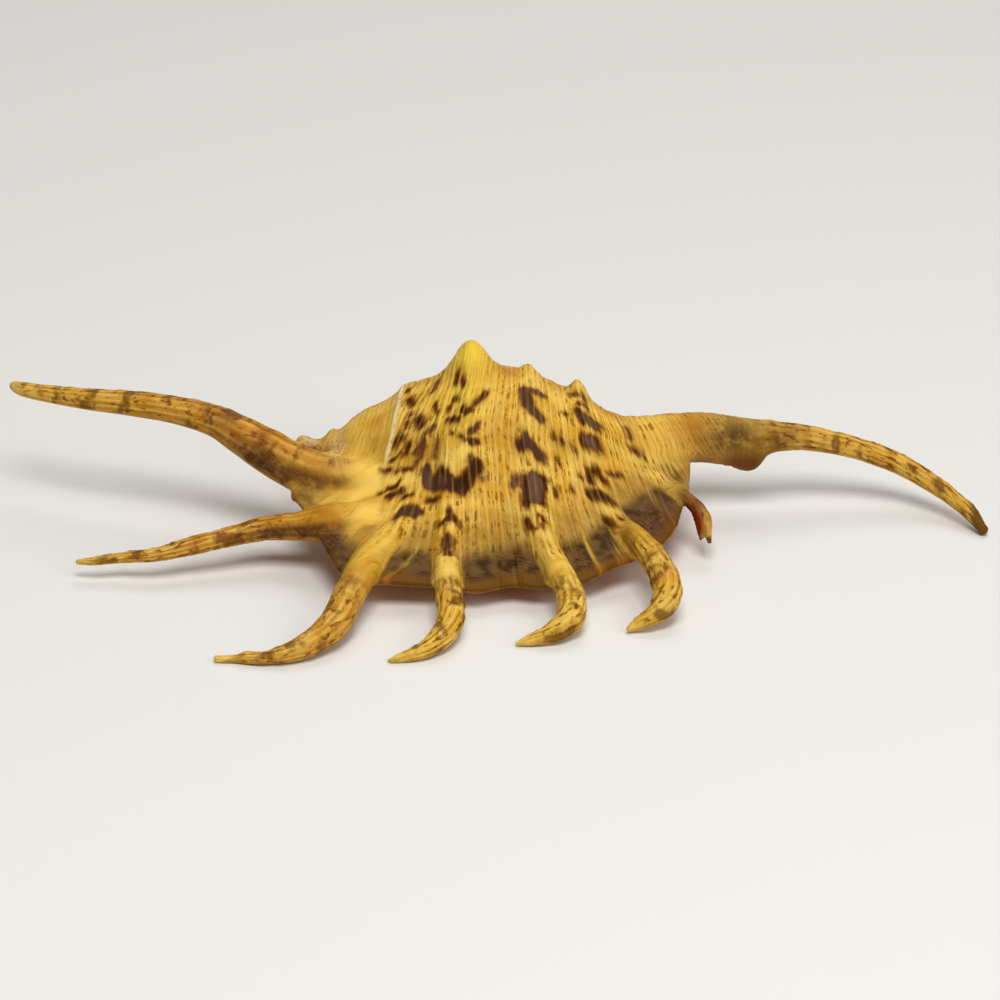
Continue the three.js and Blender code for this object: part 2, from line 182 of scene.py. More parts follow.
@dataclass
class Whorls:
    """The body and the spire, as a radius about the coiling line."""

    back: Rows = field(default_factory=lambda: [
        [-33.7, 0.3], [-33.1, 1.2], [-32.2, 1.6], [-31.1, 1.2], [-30.1, 0.9], [-29.0, 1.2], [-27.6, 2.1],
        [-26.4, 2.5], [-25.4, 3.2], [-24.2, 4.4], [-23.0, 5.3], [-21.5, 6.1], [-19.8, 6.8], [-18.0, 7.8],
        [-16.6, 8.8], [-16.0, 9.7], [-13.2, 10.5], [-9.9, 11.5], [-7.4, 12.2], [-5.0, 12.8], [-2.5, 13.1],
        [0, 13.0], [2.5, 12.5], [5.0, 11.7], [7.5, 10.8], [10.0, 9.7], [12.7, 8.4], [14.9, 7.2],
        [17.3, 5.6], [19.8, 4.2], [22.3, 3.5], [27.0, 2.7],
    ])
    mean: float = 0.955
    swing: float = 0.08
    widest: float = 30
    seam_reach: float = 2.1
    seam_foremost: float = -20
    seam_grows: Span = (-33.7, -24)
    seam_fades: Span = (-12, -4)
    slope_step: float = 0.1
    cords: Rows = field(default_factory=lambda: [[-5.0, 0.5, 2.0], [4.7, 0.45, 1.5], [12.9, 0.45, 1.3]])
    knobs: tuple[Knob, ...] = (
        Knob(-5.0, -6, 4.25, 3.4, 3.8), Knob(4.9, -8, 1.1, 1.8, 2.8), Knob(12.9, -8, 2.0, 1.7, 2.8),
        Knob(-5.5, -78, 2.0, 2.6, 3.6), Knob(-6.0, -140, 1.3, 2.6, 3.6), Knob(4.0, -72, 1.0, 1.7, 2.6),
        Knob(11.5, -76, 1.0, 1.5, 2.4), Knob(3.6, -128, 0.8, 1.7, 2.6), Knob(-18.4, -58, 0.9, 1.5, 1.8),
        Knob(-19.0, -118, 0.8, 1.5, 1.8), Knob(-27.6, -20, 0.5, 0.9, 1.2), Knob(-27.6, 60, 0.5, 0.9, 1.2),
        Knob(-27.6, -100, 0.5, 0.9, 1.2), Knob(-3.0, 180, 0.5, 8.0, 9.0),
    )

    def __post_init__(self) -> None:
        """Makes the curve along the back."""
        self.along_back = Table(self.back)

    def drift(self, x: Array, angle: Array) -> Array:
        """Works out the coil's slant.

        Args:
            x: place along the coiling line.
            angle: degrees from the top towards the lip.

        Returns:
            How far the seams have moved along x there.
        """
        grows = smoothstep(x, *self.seam_grows)
        fades = 1 - smoothstep(x, *self.seam_fades)
        return grows * fades * self.seam_reach * (1 - np.cos(np.radians(angle - self.seam_foremost)))

    def radius(self, x: Array, angle: Array) -> Array:
        """Measures the body from the coiling line.

        Args:
            x: place along the line.
            angle: degrees from the top towards the lip.

        Returns:
            The radius, with the cords and knobs.
        """
        swing = self.swing * np.cos(np.radians(angle - self.widest))
        plain = self.along_back(x + self.drift(x, angle)) * (self.mean + swing)
        whole = plain.copy()
        for at, height, half in self.cords:
            whole += height * bump((x - at) / half)
        for knob in self.knobs:
            turn = np.radians(np.mod(angle - knob.angle + 180, 360) - 180)
            whole += knob.height * blunt_bump((x - knob.x) / knob.long, turn * plain / knob.round)
        return whole

    def polar(self, points: Array) -> tuple[Array, Array]:
        """Turns places into a distance from the coiling line and degrees from the top towards the lip."""
        across, up = -points[:, 1], points[:, 2] - AXIS_HEIGHT
        return np.hypot(across, up), np.degrees(np.arctan2(across, up))

    def distance(self, points: Array) -> Array:
        """Measures how far each point is outside the body.

        Args:
            points: places, one a row.

        Returns:
            The distances, negative inside.
        """
        away, angle = self.polar(points)
        x = points[:, 0]
        here = self.radius(x, angle)
        slope = (self.radius(x + self.slope_step, angle) - here) / self.slope_step
        side = (away - here) / np.sqrt(1 + slope * slope)
        return np.maximum(side, np.maximum(self.back[0][0] - x, x - self.back[-1][0]))


@dataclass
class LipReading:
    """Where points lie on the flared lip."""

    part: Array  # 0 at the root to 1 at the edge
    height: Array  # above the middle face
    distance: Array  # from the surface
    half: Array  # half the thickness


@dataclass
class FlaredLip:
    """The wide lip, a curved plate from the body to its wavy edge."""

    whorls: Whorls
    rows: Rows = field(default_factory=lambda: [
        [-34.0, 90, 10, -13.8, 10.5], [-31.6, 95, 12, -17.4, 9.6], [-28.7, 96, 14, -24.2, 7.7],
        [-25.7, 95, 18, -31.8, 6.2], [-23.5, 92, 20, -34.4, 5.4], [-20.5, 86, 26, -34.2, 5.0],
        [-17.0, 74, 36, -33.9, 4.6], [-13.0, 60, 46, -33.9, 4.3], [-8.0, 54, 50, -34.2, 4.0],
        [-4.0, 52, 50, -34.9, 3.7], [2.0, 50, 50, -32.8, 3.7], [6.0, 50, 50, -33.6, 3.7],
        [9.5, 50, 50, -33.0, 3.8], [14.0, 50, 48, -31.6, 4.1], [18.0, 48, 44, -28.6, 4.8],
        [22.3, 44, 40, -26.0, 5.3], [25.8, 42, 38, -23.0, 6.0], [28.3, 42, 36, -18.2, 6.9],
        [29.4, 42, 40, -13.6, 7.8], [30.2, 42, 46, -9.4, 8.6], [31.0, 42, 52, -6.0, 9.6],
    ])
    thick_root: float = 2.8
    thick_edge: float = 1.2
    solid_edge: float = 1.7
    end_round: float = 1.0
    sunk: float = 0.2
    by_spire: float = 5.0
    edge_slope: float = 12.0
    knob_x: float = -6.8
    knob_part: float = 0.19
    knob_height: float = 2.7
    knob_long: float = 3.4
    knob_reach: float = 0.12
    margin: float = 6.0  # how far beyond its ends points are still measured
    middle: float = 2.0  # no part of it is beyond this, away from its edge
    top_steps: int = 600
    samples: int = 25
    batch: int = 40000

    def __post_init__(self) -> None:
        """Makes the curves along x."""
        self.along = Table(self.rows)

    def frame(self, x: Array) -> tuple[Array, Array, Array, Array]:
        """Reads the root, the edge and the directions there, as [y, z].

        Args:
            x: places along the coiling line.

        Returns:
            Root, edge, the run at the root and the run at the edge.
        """
        angle = self.along(x, 0)
        inside = self.whorls.radius(x, angle) - self.thick_root / 2 - self.sunk
        inside = np.where(x < 0, np.maximum(inside, self.by_spire), inside)
        turn = np.radians(angle)
        root = np.stack([-inside * np.sin(turn), AXIS_HEIGHT + inside * np.cos(turn)], -1)
        edge = np.stack([self.along(x, 2), self.along(x, 3)], -1)
        reach = np.linalg.norm(root - edge, axis=-1)[..., None]
        leave, arrive = np.radians(self.along(x, 1)), np.radians(np.full_like(x, self.edge_slope))
        runs = [-reach * np.stack([np.cos(slope), np.sin(slope)], -1) for slope in (leave, arrive)]
        return root, edge, runs[0], runs[1]

    def curve(self, frame: tuple[Array, ...], part: Array, order: int = 0) -> Array:
        """Reads the middle face in its cross-section.

        Args:
            frame: what frame() gives.
            part: 0 at the root to 1 at the edge.
            order: 0 for the place, 1 and 2 for its first and second derivative.

        Returns:
            The [y, z] values.
        """
        root, edge, leave, arrive = frame
        t = part[..., None]
        t2, t3 = t * t, t * t * t
        basis = {
            0: (2 * t3 - 3 * t2 + 1, t3 - 2 * t2 + t, 3 * t2 - 2 * t3, t3 - t2),
            1: (6 * t2 - 6 * t, 3 * t2 - 4 * t + 1, 6 * t - 6 * t2, 3 * t2 - 2 * t),
            2: (12 * t - 6, 6 * t - 4, 6 - 12 * t, 6 * t - 2),
        }[order]
        return basis[0] * root + basis[1] * leave + basis[2] * edge + basis[3] * arrive

    def knob(self, x: Array, part: Array) -> Array:
        """Returns the height of the big knob below the shoulder."""
        across = (part - self.knob_part) / self.knob_reach
        return self.knob_height * bump((x - self.knob_x) / self.knob_long, across)

    def top(self, x: float, y: float) -> float:
        """Finds how high the lip's upper face is.

        Args:
            x: place along the coiling line.
            y: place across it, negative towards the edge.

        Returns:
            The height above the ground.
        """
        parts = np.linspace(0, 1, self.top_steps)
        places = np.full(parts.shape, x)
        frame = self.frame(places)
        run = self.curve(frame, parts, 1)
        run /= np.linalg.norm(run, axis=-1)[:, None]
        outward = np.stack([run[:, 1], -run[:, 0]], -1)
        half = self.thick_root + (self.solid_edge - self.thick_root) * parts
        face = self.curve(frame, parts) + outward * (half / 2)[:, None]
        face += outward * self.knob(places, parts)[:, None]
        return float(np.interp(-y, -face[:, 0], face[:, 1]))

    def read(self, points: Array) -> LipReading:
        """Finds where points lie on the lip.

        Args:
            points: places, one a row.

        Returns:
            The reading. Points far from the lip get a large distance.
        """
        starts = (1.0, FAR, FAR, self.thick_edge / 2)
        reading = LipReading(*(np.full(len(points), start) for start in starts))
        first, last = self.rows[0][0] - self.margin, self.rows[-1][0] + self.margin
        near = (points[:, 0] > first) & (points[:, 0] < last) & (points[:, 1] < self.middle)
        for pick in batches(np.flatnonzero(near), self.batch):
            self._read_some(points[pick], pick, reading)
        return reading

    def _read_some(self, points: Array, pick: Array, reading: LipReading) -> None:
        """Fills a reading for some points.

        Args:
            points: places, one a row.
            pick: their numbers in the reading.
            reading: what is filled.
        """
        x = np.clip(points[:, 0], self.rows[0][0] + self.end_round, self.rows[-1][0] - self.end_round)
        frame = self.frame(x)
        samples = np.linspace(0, 1, self.samples)
        wide = tuple(part[:, None, :] for part in frame)
        grid = self.curve(wide, np.broadcast_to(samples, (len(x), len(samples))))
        spot = points[:, None, 1:]
        part = samples[np.argmin(((grid - spot) ** 2).sum(-1), axis=1)]
        spot = points[:, 1:]
        for _ in range(3):
            offset = self.curve(frame, part) - spot
            first = self.curve(frame, part, 1)
            second = self.curve(frame, part, 2)
            steep = (first * first).sum(-1)
            bend = np.maximum(steep + (offset * second).sum(-1), 0.3 * steep)
            part = np.clip(part - (offset * first).sum(-1) / bend, 0, 1)
        offset = spot - self.curve(frame, part)
        run = self.curve(frame, part, 1)
        run /= np.linalg.norm(run, axis=-1)[:, None]
        height = offset[:, 0] * run[:, 1] - offset[:, 1] * run[:, 0]
        past = (offset * run).sum(-1)
        half = (self.thick_root + (self.thick_edge - self.thick_root) * part) / 2
        upper = half + self.knob(x, part) * smoothstep(height, -0.5, 0.5)
        aside = points[:, 0] - x
        reading.part[pick] = part
        reading.height[pick] = height
        reading.half[pick] = half
        reading.distance[pick] = np.sqrt(height ** 2 + past ** 2 + aside ** 2) - upper


def catmull_rom(points: Array, share: Array) -> Array:
    """Reads a centripetal curve through points.

    Args:
        points: the places that it goes through.
        share: how far along, 0 to 1, each stretch between two points counting the same.

    Returns:
        The places on the curve.
    """
    longer = np.vstack([2 * points[0] - points[1], points, 2 * points[-1] - points[-2]])
    place = share * (len(points) - 1)
    i = np.minimum(place.astype(int), len(points) - 2)
    before, start, end, after = (longer[i + ahead] for ahead in range(4))
    steps = (start - before, end - start, after - end)
    gaps = [np.maximum(np.sqrt(np.linalg.norm(step, axis=1)), 1e-4)[:, None] for step in steps]
    first, here, last = gaps
    leave = ((start - before) / first - (end - before) / (first + here) + (end - start) / here) * here
    arrive = ((end - start) / here - (after - start) / (here + last) + (after - end) / last) * here
    return smooth_run((start, leave, end, arrive), (place - i)[:, None])


@dataclass
class LimbReading:
    """Where points lie on a limb."""

    distance: Array  # from its surface
    share: Array  # how far along, from 0 to 1
    turn: Array  # radians from its top
    run: Array  # mm from its start
    radius: Array  # of the limb there
    across: Array  # mm beside its middle line
    above: Array  # mm above its middle line


@dataclass
class Limb:
    """A round tapering limb down the middle of rows [x, y, z, radius, depth below]."""

    rows: Rows
    groove: tuple[float, float, float] = (0.0, 0.0, 0.0)  # half width and depth in radii, share at its end
    groove_fade: float = 0.2
    groove_web: float = 0.3
    per_row: int = 7
    margin: float = 3.5
    batch: int = 30000

    def __post_init__(self) -> None:
        """Samples the middle line."""
        data = np.array([row if len(row) > 4 else row + [row[3]] for row in self.rows], float)
        shares = np.linspace(0, 1, len(data))
        self.shares = np.linspace(0, 1, (len(data) - 1) * self.per_row + 1)
        sizes = Table([[share, *row[3:]] for share, row in zip(shares, data)])
        self.middle = catmull_rom(data[:, :3], self.shares)
        self.radii = sizes(self.shares, 0)
        self.depths = sizes(self.shares, 1)
        self.runs = np.concatenate([[0], np.cumsum(np.linalg.norm(np.diff(self.middle, axis=0), axis=1))])
        along = np.gradient(self.middle, axis=0)
        self.along = along / np.linalg.norm(along, axis=1)[:, None]
        reach = (np.maximum(self.radii, self.depths) + self.margin)[:, None]
        self.low = (self.middle - reach).min(0)
        self.high = (self.middle + reach).max(0)

    def read(self, points: Array) -> LimbReading:
        """Finds where points lie on the limb.

        Args:
            points: places, one a row.

        Returns:
            The reading. Points far from the limb get a large distance.
        """
        count = len(points)
        reading = LimbReading(np.full(count, FAR), *(np.zeros(count) for _ in range(6)))
        near = np.flatnonzero(((points > self.low) & (points < self.high)).all(1))
        for pick in batches(near, self.batch):
            self._read_some(points[pick], pick, reading)
        return reading

    def _read_some(self, spot: Array, pick: Array, reading: LimbReading) -> None:
        """Fills a reading for some points.

        Args:
            spot: their places, one a row.
            pick: their numbers in the reading.
            reading: what is filled.
        """
        square = (self.middle ** 2).sum(1)[None] - 2 * spot @ self.middle.T
        nearest = np.argmin(square, axis=1)
        ahead = ((spot - self.middle[nearest]) * self.along[nearest]).sum(1) > 0
        i = np.clip(np.where(ahead, nearest, nearest - 1), 0, len(self.middle) - 2)
        leg = self.middle[i + 1] - self.middle[i]
        t = np.clip(((spot - self.middle[i]) * leg).sum(1) / (leg ** 2).sum(1), 0, 1)
        centre = self.middle[i] + leg * t[:, None]
        along = self.along[i] + (self.along[i + 1] - self.along[i]) * t[:, None]
        side = np.stack([-along[:, 1], along[:, 0], np.zeros(len(along))], 1)
        side /= np.linalg.norm(side, axis=1)[:, None]
        up = np.cross(along, side)
        offset = spot - centre
        across, above = (offset * side).sum(1), (offset * up).sum(1)
        radius = self.radii[i] + (self.radii[i + 1] - self.radii[i]) * t
        depth = self.depths[i] + (self.depths[i + 1] - self.depths[i]) * t
        length = np.linalg.norm(offset, axis=1)
        tall = np.where(above < 0, depth, radius)
        beyond = np.sqrt(np.maximum(length ** 2 - across ** 2 - above ** 2, 0))
        ellipse = np.sqrt((across / radius) ** 2 + (above / tall) ** 2 + (beyond / radius) ** 2)
        least = 1e-3
        outside = length * (1 - 1 / np.maximum(ellipse, least))
        reading.distance[pick] = np.where(ellipse > least, outside, -radius)
        reading.share[pick] = self.shares[i] + (self.shares[i + 1] - self.shares[i]) * t
        reading.turn[pick] = np.arctan2(across, above)
        reading.run[pick] = self.runs[i] + (self.runs[i + 1] - self.runs[i]) * t
        reading.radius[pick] = radius
        reading.across[pick] = across
        reading.above[pick] = above
        wide, offset_below, end = self.groove
        if wide:
            fade = 1 - smoothstep(reading.share[pick], end - self.groove_fade, end)
            cut = np.hypot(across, above + offset_below * radius) - wide * radius * fade
            reading.distance[pick] = smooth_max(reading.distance[pick], -cut, self.groove_web)


@dataclass
class Hollow:
    """The space inside the last turn, open below between the inner lip and the flared lip."""

    whorls: Whorls
    lip: FlaredLip
    rows: Rows = field(default_factory=lambda: [
        [-19.0, 2.6, 0.93, -6.6, 0.25], [-16.0, 2.2, 0.8, -6.2, 0.6], [-13.0, 2.1, 0.73, -6.1, 0.92],
        [-10.0, 2.0, 0.7, -6.0, 0.95], [-4.0, 1.9, 0.62, -5.6, 0.95], [4.0, 1.8, 0.58, -5.0, 0.95],
        [11.0, 1.7, 0.5, -3.8, 0.95], [17.0, 1.6, 0.4, -2.2, 0.95], [22.0, 1.5, 0.35, -1.2, 0.95],
        [27.0, 1.5, 0.35, -0.6, 0.9], [30.6, 1.6, 0.35, -0.2, 0.8],
    ])
    deep: float = -40
    inner_from: float = 118
    below: float = -3
    overlap: float = 0.3
    part_length: float = 25  # mm that stand for the whole way from the lip's root to its edge
    web: float = 1.2

    def __post_init__(self) -> None:
        """Makes the curves along x."""
        self.along = Table(self.rows)

    def distance(self, points: Array, reading: LipReading) -> Array:
        """Measures how far each point is outside the hollow.

        Args:
            points: places, one a row.
            reading: where they lie on the lip.

        Returns:
            The distances, negative in the hollow.
        """
        x, y, z = points.T
        away, angle = self.whorls.polar(points)
        wall, core, inner_y, follow = (self.along(x, column) for column in range(4))
        leaves = self.lip.along(x, 0)
        inner = self.whorls.radius(x, np.minimum(angle, leaves)) - wall
        past_root = away * np.sin(np.radians(np.clip(angle - leaves, -90, 90)))
        in_turn = np.maximum(away - inner, past_root - self.overlap)
        under_lip = np.maximum(reading.height + reading.half, -past_root - self.overlap)
        under_lip = np.maximum(under_lip, (reading.part - follow) * self.part_length)
        deep = away * np.sin(np.radians(np.clip(self.deep - angle, -90, 90)))
        turn = math.radians(self.inner_from)
        foot = core * (self.whorls.radius(x, leaves) - wall)
        foot_y, foot_z = -foot * math.sin(turn), AXIS_HEIGHT + foot * math.cos(turn)
        rise = np.clip((z - self.below) / (foot_z - self.below), 0, 1)
        inner_lip = np.maximum(inner_y + (foot_y - inner_y) * rise - y, z - foot_z)
        column = np.minimum(away - core * inner, inner_lip)
        ends = np.maximum(self.rows[0][0] - x, x - self.rows[-1][0])
        space = smooth_max(np.minimum(in_turn, under_lip), -column, self.web)
        return np.maximum(np.maximum(space, deep), ends)


@dataclass
class Finger:
    """One finger of the lip, and the ridge that leads to it."""

    free: Rows  # x, y, z and radius
    ridge: Rows  # x, y, height above the lip and radius
    cord: float  # the body's cord that runs out on it


FINGERS = (
    Finger([
        [-14.0, -8.4, 8.8, 2.0], [-19.0, -9.8, 9.6, 2.4], [-24.0, -10.6, 11.2, 2.8],
        [-28.4, -10.0, 11.4, 3.3], [-32.8, -8.6, 12.5, 3.35], [-37.3, -7.4, 14.6, 3.15],
        [-41.7, -5.9, 16.8, 2.7], [-46.3, -3.9, 18.6, 2.15], [-53.0, -1.4, 19.4, 1.8],
        [-59.6, 0.5, 19.6, 1.6], [-67.2, 2.7, 19.4, 1.3], [-74.0, 5.7, 19.0, 1.0],
        [-78.9, 8.6, 18.6, 0.75], [-80.3, 10.2, 18.4, 0.4],
    ], [], -14.5),
    Finger([
        [-26.4, -20.5, 8.3, 3.2], [-32.0, -20.2, 7.6, 2.35], [-37.7, -20.0, 7.0, 1.95],
        [-44.0, -21.7, 6.2, 1.6], [-50.3, -23.2, 5.2, 1.45], [-55.6, -24.3, 4.4, 1.1],
        [-61.0, -24.0, 3.8, 0.9], [-64.7, -24.3, 3.4, 0.7], [-67.5, -23.8, 3.0, 0.45],
    ], [
        [-14.5, -13.5, -0.3, 2.8], [-19.5, -17.6, 0.7, 3.3],
    ], -12.0),
    Finger([
        [-22.3, -36.2, 6.1, 2.5], [-24.1, -41.3, 4.9, 2.5], [-25.4, -45.6, 3.7, 2.45],
        [-28.2, -49.4, 2.6, 2.15], [-31.9, -52.0, 1.8, 1.6], [-36.5, -52.9, 1.15, 1.0],
        [-39.2, -52.6, 1.05, 0.95], [-41.0, -52.4, 0.75, 0.6], [-43.6, -52.2, 0.65, 0.6],
    ], [
        [-12.0, -13.5, -0.3, 2.5], [-15.2, -20.0, 0.9, 2.4], [-19.8, -28.0, 2.0, 2.4],
    ], -8.5),
    Finger([
        [-8.3, -34.1, 5.9, 2.0], [-8.0, -38.8, 4.9, 2.15], [-7.6, -42.2, 3.9, 2.15],
        [-7.9, -45.3, 3.0, 2.1], [-9.3, -48.3, 2.2, 1.85], [-11.7, -50.8, 1.4, 1.35],
        [-14.6, -51.9, 0.9, 0.9], [-17.0, -52.6, 0.5, 0.35],
    ], [
        [-8.0, -15.0, -0.3, 2.0], [-8.5, -20.6, 0.9, 1.95], [-8.5, -27.5, 1.9, 1.95],
    ], -5.0),
    Finger([
        [9.3, -33.0, 6.1, 2.05], [10.7, -37.3, 4.9, 2.25], [11.3, -40.3, 3.8, 2.3],
        [10.8, -43.4, 2.8, 2.15], [8.7, -45.4, 1.9, 1.75], [5.7, -46.5, 1.2, 1.15],
        [2.5, -47.1, 0.5, 0.35],
    ], [
        [4.9, -13.5, -0.1, 1.8], [6.0, -20.0, 1.0, 1.95], [7.6, -27.0, 1.9, 1.95],
    ], 4.7),
    Finger([
        [21.3, -23.2, 7.4, 1.85], [24.0, -29.6, 7.1, 2.1], [25.7, -34.8, 6.1, 2.35],
        [26.3, -38.2, 4.6, 2.3], [25.2, -40.5, 3.3, 1.95], [23.1, -41.7, 2.1, 1.35],
        [21.4, -42.2, 1.3, 1.0], [20.0, -42.8, 0.8, 0.45],
    ], [
        [14.0, -11.5, -0.1, 1.6], [16.6, -15.8, 0.6, 1.75], [19.2, -19.4, 1.0, 1.8],
    ], 12.9),
    Finger([
        [28.8, -10.9, 9.1, 1.2], [30.4, -12.8, 8.7, 1.1], [31.8, -14.1, 7.8, 1.2],
        [32.7, -15.5, 6.5, 1.35], [33.0, -16.7, 5.5, 1.2],
    ], [
        [22.6, -6.8, -0.3, 1.4], [25.8, -9.0, 0.6, 1.3],
    ], 21.0),
)
FORK = (
    [[32.3, -16.2, 5.9, 0.85], [32.3, -18.0, 4.3, 0.35]],
    [[33.3, -16.3, 5.9, 0.85], [33.7, -18.8, 3.9, 0.35]],
)
CANAL = [
    [15.5, 0.2, 12.2, 5.1, 5.1], [19.5, 0.5, 12.3, 4.4, 4.3], [23.0, 0.8, 12.6, 4.2, 4.2],
    [27.0, 1.2, 13.0, 4.1, 4.3], [30.8, 1.8, 13.3, 3.85, 4.6], [34.5, 2.2, 13.5, 3.4, 5.2],
    [38.6, 2.4, 13.3, 2.9, 6.0], [41.8, 2.5, 12.9, 2.8, 6.4], [44.0, 2.7, 12.8, 2.65, 3.6],
    [46.0, 3.0, 12.5, 2.45, 2.45], [50.3, 3.9, 11.9, 2.1, 2.1], [56.1, 4.1, 10.6, 1.85, 1.85],
    [61.1, 3.9, 9.2, 1.8, 1.8], [66.0, 3.0, 7.5, 1.75, 1.75], [70.0, 0.9, 5.9, 1.6, 1.6],
    [73.9, -1.9, 4.2, 1.4, 1.4], [77.1, -5.4, 2.6, 1.2, 1.2], [79.0, -8.2, 1.0, 0.8, 0.8],
]


@dataclass
class Place:
    """Where points lie on every form of the shell."""

    angle: Array  # degrees from the top towards the lip
    lip: LipReading
    canal: LimbReading
    fingers: list[LimbReading]
    fork: Array  # the distance from the last finger's two tips
    hollow: Array  # the distance from the hollow
    body: Array  # the distance from body and spire


@dataclass
class ShellForm:
    """The whole shell as a distance: whorls, canal, lip and fingers, with webs, hollow and grooves."""

    web_canal: float = 2.2
    web_lip: float = 1.8
    web_finger: float = 1.1
    web_hollow: float = 0.9
    web_below: float = 0.6
    web_groove: float = 0.4
    below_lip: Span = (0.15, 8.15)  # how far fingers may stand out below the lip, inside its edge and at it
    lip_edge: Span = (0.82, 1.0)
    canal_groove: tuple[float, ...] = (0.2, 0.88, 1.1, 0.35)  # shares of its length, half widths
    canal_groove_top: float = 0.8  # of the half width, above the canal's middle line
    canal_length: float = 90  # mm that stand for its whole length
    finger_groove: tuple[float, float, float] = (0.4, 0.85, 0.92)
    slope_step: float = 0.5

    def __post_init__(self) -> None:
        """Makes the forms."""
        self.whorls = Whorls()
        self.lip = FlaredLip(self.whorls)
        self.hollow = Hollow(self.whorls, self.lip)
        self.canal = Limb(CANAL)
        self.fingers = [Limb(self._on_lip(finger) + finger.free, self.finger_groove) for finger in FINGERS]
        self.fork = [Limb(rows) for rows in FORK]

    def _on_lip(self, finger: Finger) -> Rows:
        """Lays a finger's ridge on the lip.

        Args:
            finger: the finger.

        Returns:
            The ridge's rows [x, y, z, radius].
        """
        step = self.slope_step
        rows = []
        for x, y, proud, radius in finger.ridge:
            slope = (self.lip.top(x, y + step) - self.lip.top(x, y - step)) / (2 * step)
            rows.append([x, y, self.lip.top(x, y) - (radius - proud) * math.hypot(1, slope), radius])
        return rows

    def place(self, points: Array) -> Place:
        """Reads where points lie on every form.

        Args:
            points: places, one a row.

        Returns:
            The readings.
        """
        lip = self.lip.read(points)
        fork = np.min([limb.read(points).distance for limb in self.fork], axis=0)
        fingers = [limb.read(points) for limb in self.fingers]
        return Place(self.whorls.polar(points)[1], lip, self.canal.read(points), fingers, fork,
                     self.hollow.distance(points, lip), self.whorls.distance(points))

    def distance(self, points: Array) -> Array:
        """Measures how far each point is outside the shell.

        Args:
            points: places, one a row.

        Returns:
            The distances, negative in the shell.
        """
        at = self.place(points)
        coiled = smooth_min(at.body, at.canal.distance, self.web_canal)
        rear, *others = (finger.distance for finger in at.fingers)
        coiled = smooth_min(coiled, rear, self.web_lip)
        coiled = smooth_max(coiled, -at.hollow, self.web_hollow)
        digits = np.minimum(np.min(others, axis=0), at.fork)
        inside, at_edge = self.below_lip
        room = inside + (at_edge - inside) * smoothstep(at.lip.part, *self.lip_edge)
        digits = smooth_max(digits, -(at.lip.height + at.lip.half) - room, self.web_below)
        plate = smooth_min(at.lip.distance, digits, self.web_finger)
        plate = smooth_min(plate, rear, self.web_lip)
        whole = smooth_min(coiled, plate, self.web_lip)
        return smooth_max(whole, -self._canal_groove(at.canal), self.web_groove)

    def _canal_groove(self, canal: LimbReading) -> Array:
        """Measures how far points are outside the narrow groove under the canal.

        Args:
            canal: where they lie on the canal.

        Returns:
            The distances, negative in the groove.
        """
        start, end, wide, narrow = self.canal_groove
        t = np.clip((canal.share - start) / (end - start), 0, 1)
        half = wide + (narrow - wide) * t
        across = np.abs(canal.across) - half
        above = canal.above - half * self.canal_groove_top
        outside = np.maximum(start - canal.share, canal.share - end) * self.canal_length
        return np.where(canal.radius > 0, np.maximum(np.maximum(across, above), outside), FAR)


